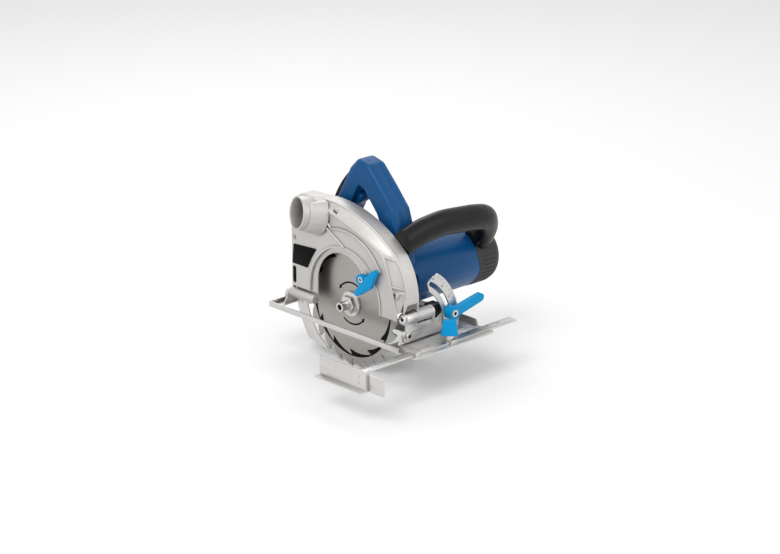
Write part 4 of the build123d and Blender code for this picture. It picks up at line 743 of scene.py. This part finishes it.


# black discs as painted shade in the screws' sockets, and round the heads that are sunk in the guard
def screwShade():
    look = {"thick": 0.3, "sunk": 0.6, "sides": 24}
    # node, axis, centre, radius, the head's front, and the way in along the axis
    heads = [("upper_guard", "y", (-17.0, 164.0), 4.15, -15.2, 1),
             ("upper_guard", "y", (-99.5, 109.5), 4.15, -18.2, 1),
             ("upper_guard", "y", (104.5, 71.5), 4.15, -16.2, 1),
             ("guard_lever_screw", "y", (44.95, 82.01), 3.4, -27.2, 1),
             ("depth_pin", "y", (115.0, 37.0), 3.4, -13.0, 1),
             ("bevel_clamp_screw", "x", (70.85, 31.31), 3.8, 137.5, -1),
             ("bevel_pivots", "x", (-6.0, 13.0), 3.6, 124.1, -1),
             ("bevel_pivots", "x", (-6.0, 13.0), 3.6, -130.8, 1),
             ("arbor_bolt", "y", (0.0, 29.0), 4.6, -25.3, 1)]
    for i, (node, axis, centre, radius, front, inward) in enumerate(heads):
        outline = arcPoints(centre, radius, 0, 360 - 360 / look["sides"], look["sides"])
        near = front + inward * look["sunk"]
        mesh = plateMesh("screwShade", outline, axis, near, near + inward * look["thick"])
        addPiece("screwShade" + str(i + 1), mesh, bodyOf[node], "plate_black")


bladePrint()
quadrantScale()
barScale()
capDetail()
gripRibs()
lowerGuardBead()
guardRidges()
legSlotBlank()
screwShade()
print("small forms and scales made")


# floor, backdrop and light
def studio():
    look = {"floor": "#F4F4F4", "size": 8.0, "gap": 0.6 * mm, "world": 0.75}
    # offset from the object's middle and edge length in metres, power in watts
    lamps = {"keyLight": {"offset": (0.4, -1.6, 1.9), "power": 22.0, "size": 1.2},
             "fillLight": {"offset": (1.9, 0.5, 1.0), "power": 8.0, "size": 1.4},
             "rimLight": {"offset": (-1.3, 0.9, 1.6), "power": 10.0, "size": 1.0}}
    mesh = bpy.data.meshes.new("floor")
    half = look["size"] / 2
    z = cadLow.z - look["gap"]
    corners = [(-half, -half, z), (half, -half, z), (half, half, z), (-half, half, z)]
    mesh.from_pydata(corners, [], [(0, 1, 2, 3)])
    floor = bpy.data.objects.new("floor", mesh)
    scene.collection.objects.link(floor)
    # matt studio paper: near white, no shine to speak of
    paper = startMaterial("studioPaper", Roughness=0.9, Base_Color=hexColour(look["floor"]))[0]
    mesh.materials.append(paper)
    world = bpy.data.worlds.new("softStudio")
    scene.world = world
    world.use_nodes = True
    tree = world.node_tree
    tree.nodes.clear()
    # the camera, metal and glass all see the white background, and the rest gets plain soft light
    ray = addNode(tree, "ShaderNodeLightPath").outputs
    seen = addNode(tree, "ShaderNodeMath", {0: ray["Is Camera Ray"], 1: ray["Is Glossy Ray"]},
                   operation="MAXIMUM")
    white = addNode(tree, "ShaderNodeMath", {0: seen.outputs[0], 1: ray["Is Transmission Ray"]},
                    operation="MAXIMUM")
    strength = addNode(tree, "ShaderNodeMapRange",
                       {"Value": white.outputs[0], "To Min": look["world"], "To Max": 1.0})
    light = addNode(tree, "ShaderNodeBackground",
                    {"Color": (1, 1, 1, 1), "Strength": strength.outputs["Result"]})
    addNode(tree, "ShaderNodeOutputWorld", {"Surface": light.outputs["Background"]})
    centre = (cadLow + cadHigh) / 2
    for name, lampLook in lamps.items():
        data = bpy.data.lights.new(name, "AREA")
        data.energy = lampLook["power"]
        data.size = lampLook["size"]
        offset = Vector(lampLook["offset"])
        lamp = bpy.data.objects.new(name, data)
        lamp.location = centre + offset
        lamp.rotation_euler = offset.to_track_quat("Z", "Y").to_euler()
        scene.collection.objects.link(lamp)


# camera at the photo's angle, worked out from the blade's ellipse and the base's edges
def photoCamera():
    view = {"azimuth": 46.1, "elevation": 19.2, "lookAt": (21.9, 53.6, 61.2), "distance": 3438.2,
            "lens": 110.77, "sensor": 36.0}
    data = bpy.data.cameras.new("photoCamera")
    data.lens = view["lens"]
    data.sensor_width = view["sensor"]
    camera = bpy.data.objects.new("photoCamera", data)
    a = math.radians(view["azimuth"])
    e = math.radians(view["elevation"])
    back = Vector((math.sin(a) * math.cos(e), -math.cos(a) * math.cos(e), math.sin(e)))
    camera.location = Vector(view["lookAt"]) * mm + back * view["distance"] * mm
    camera.rotation_euler = back.to_track_quat("Z", "Y").to_euler()
    scene.collection.objects.link(camera)
    scene.camera = camera


studio()
photoCamera()
print("studio and camera ready")
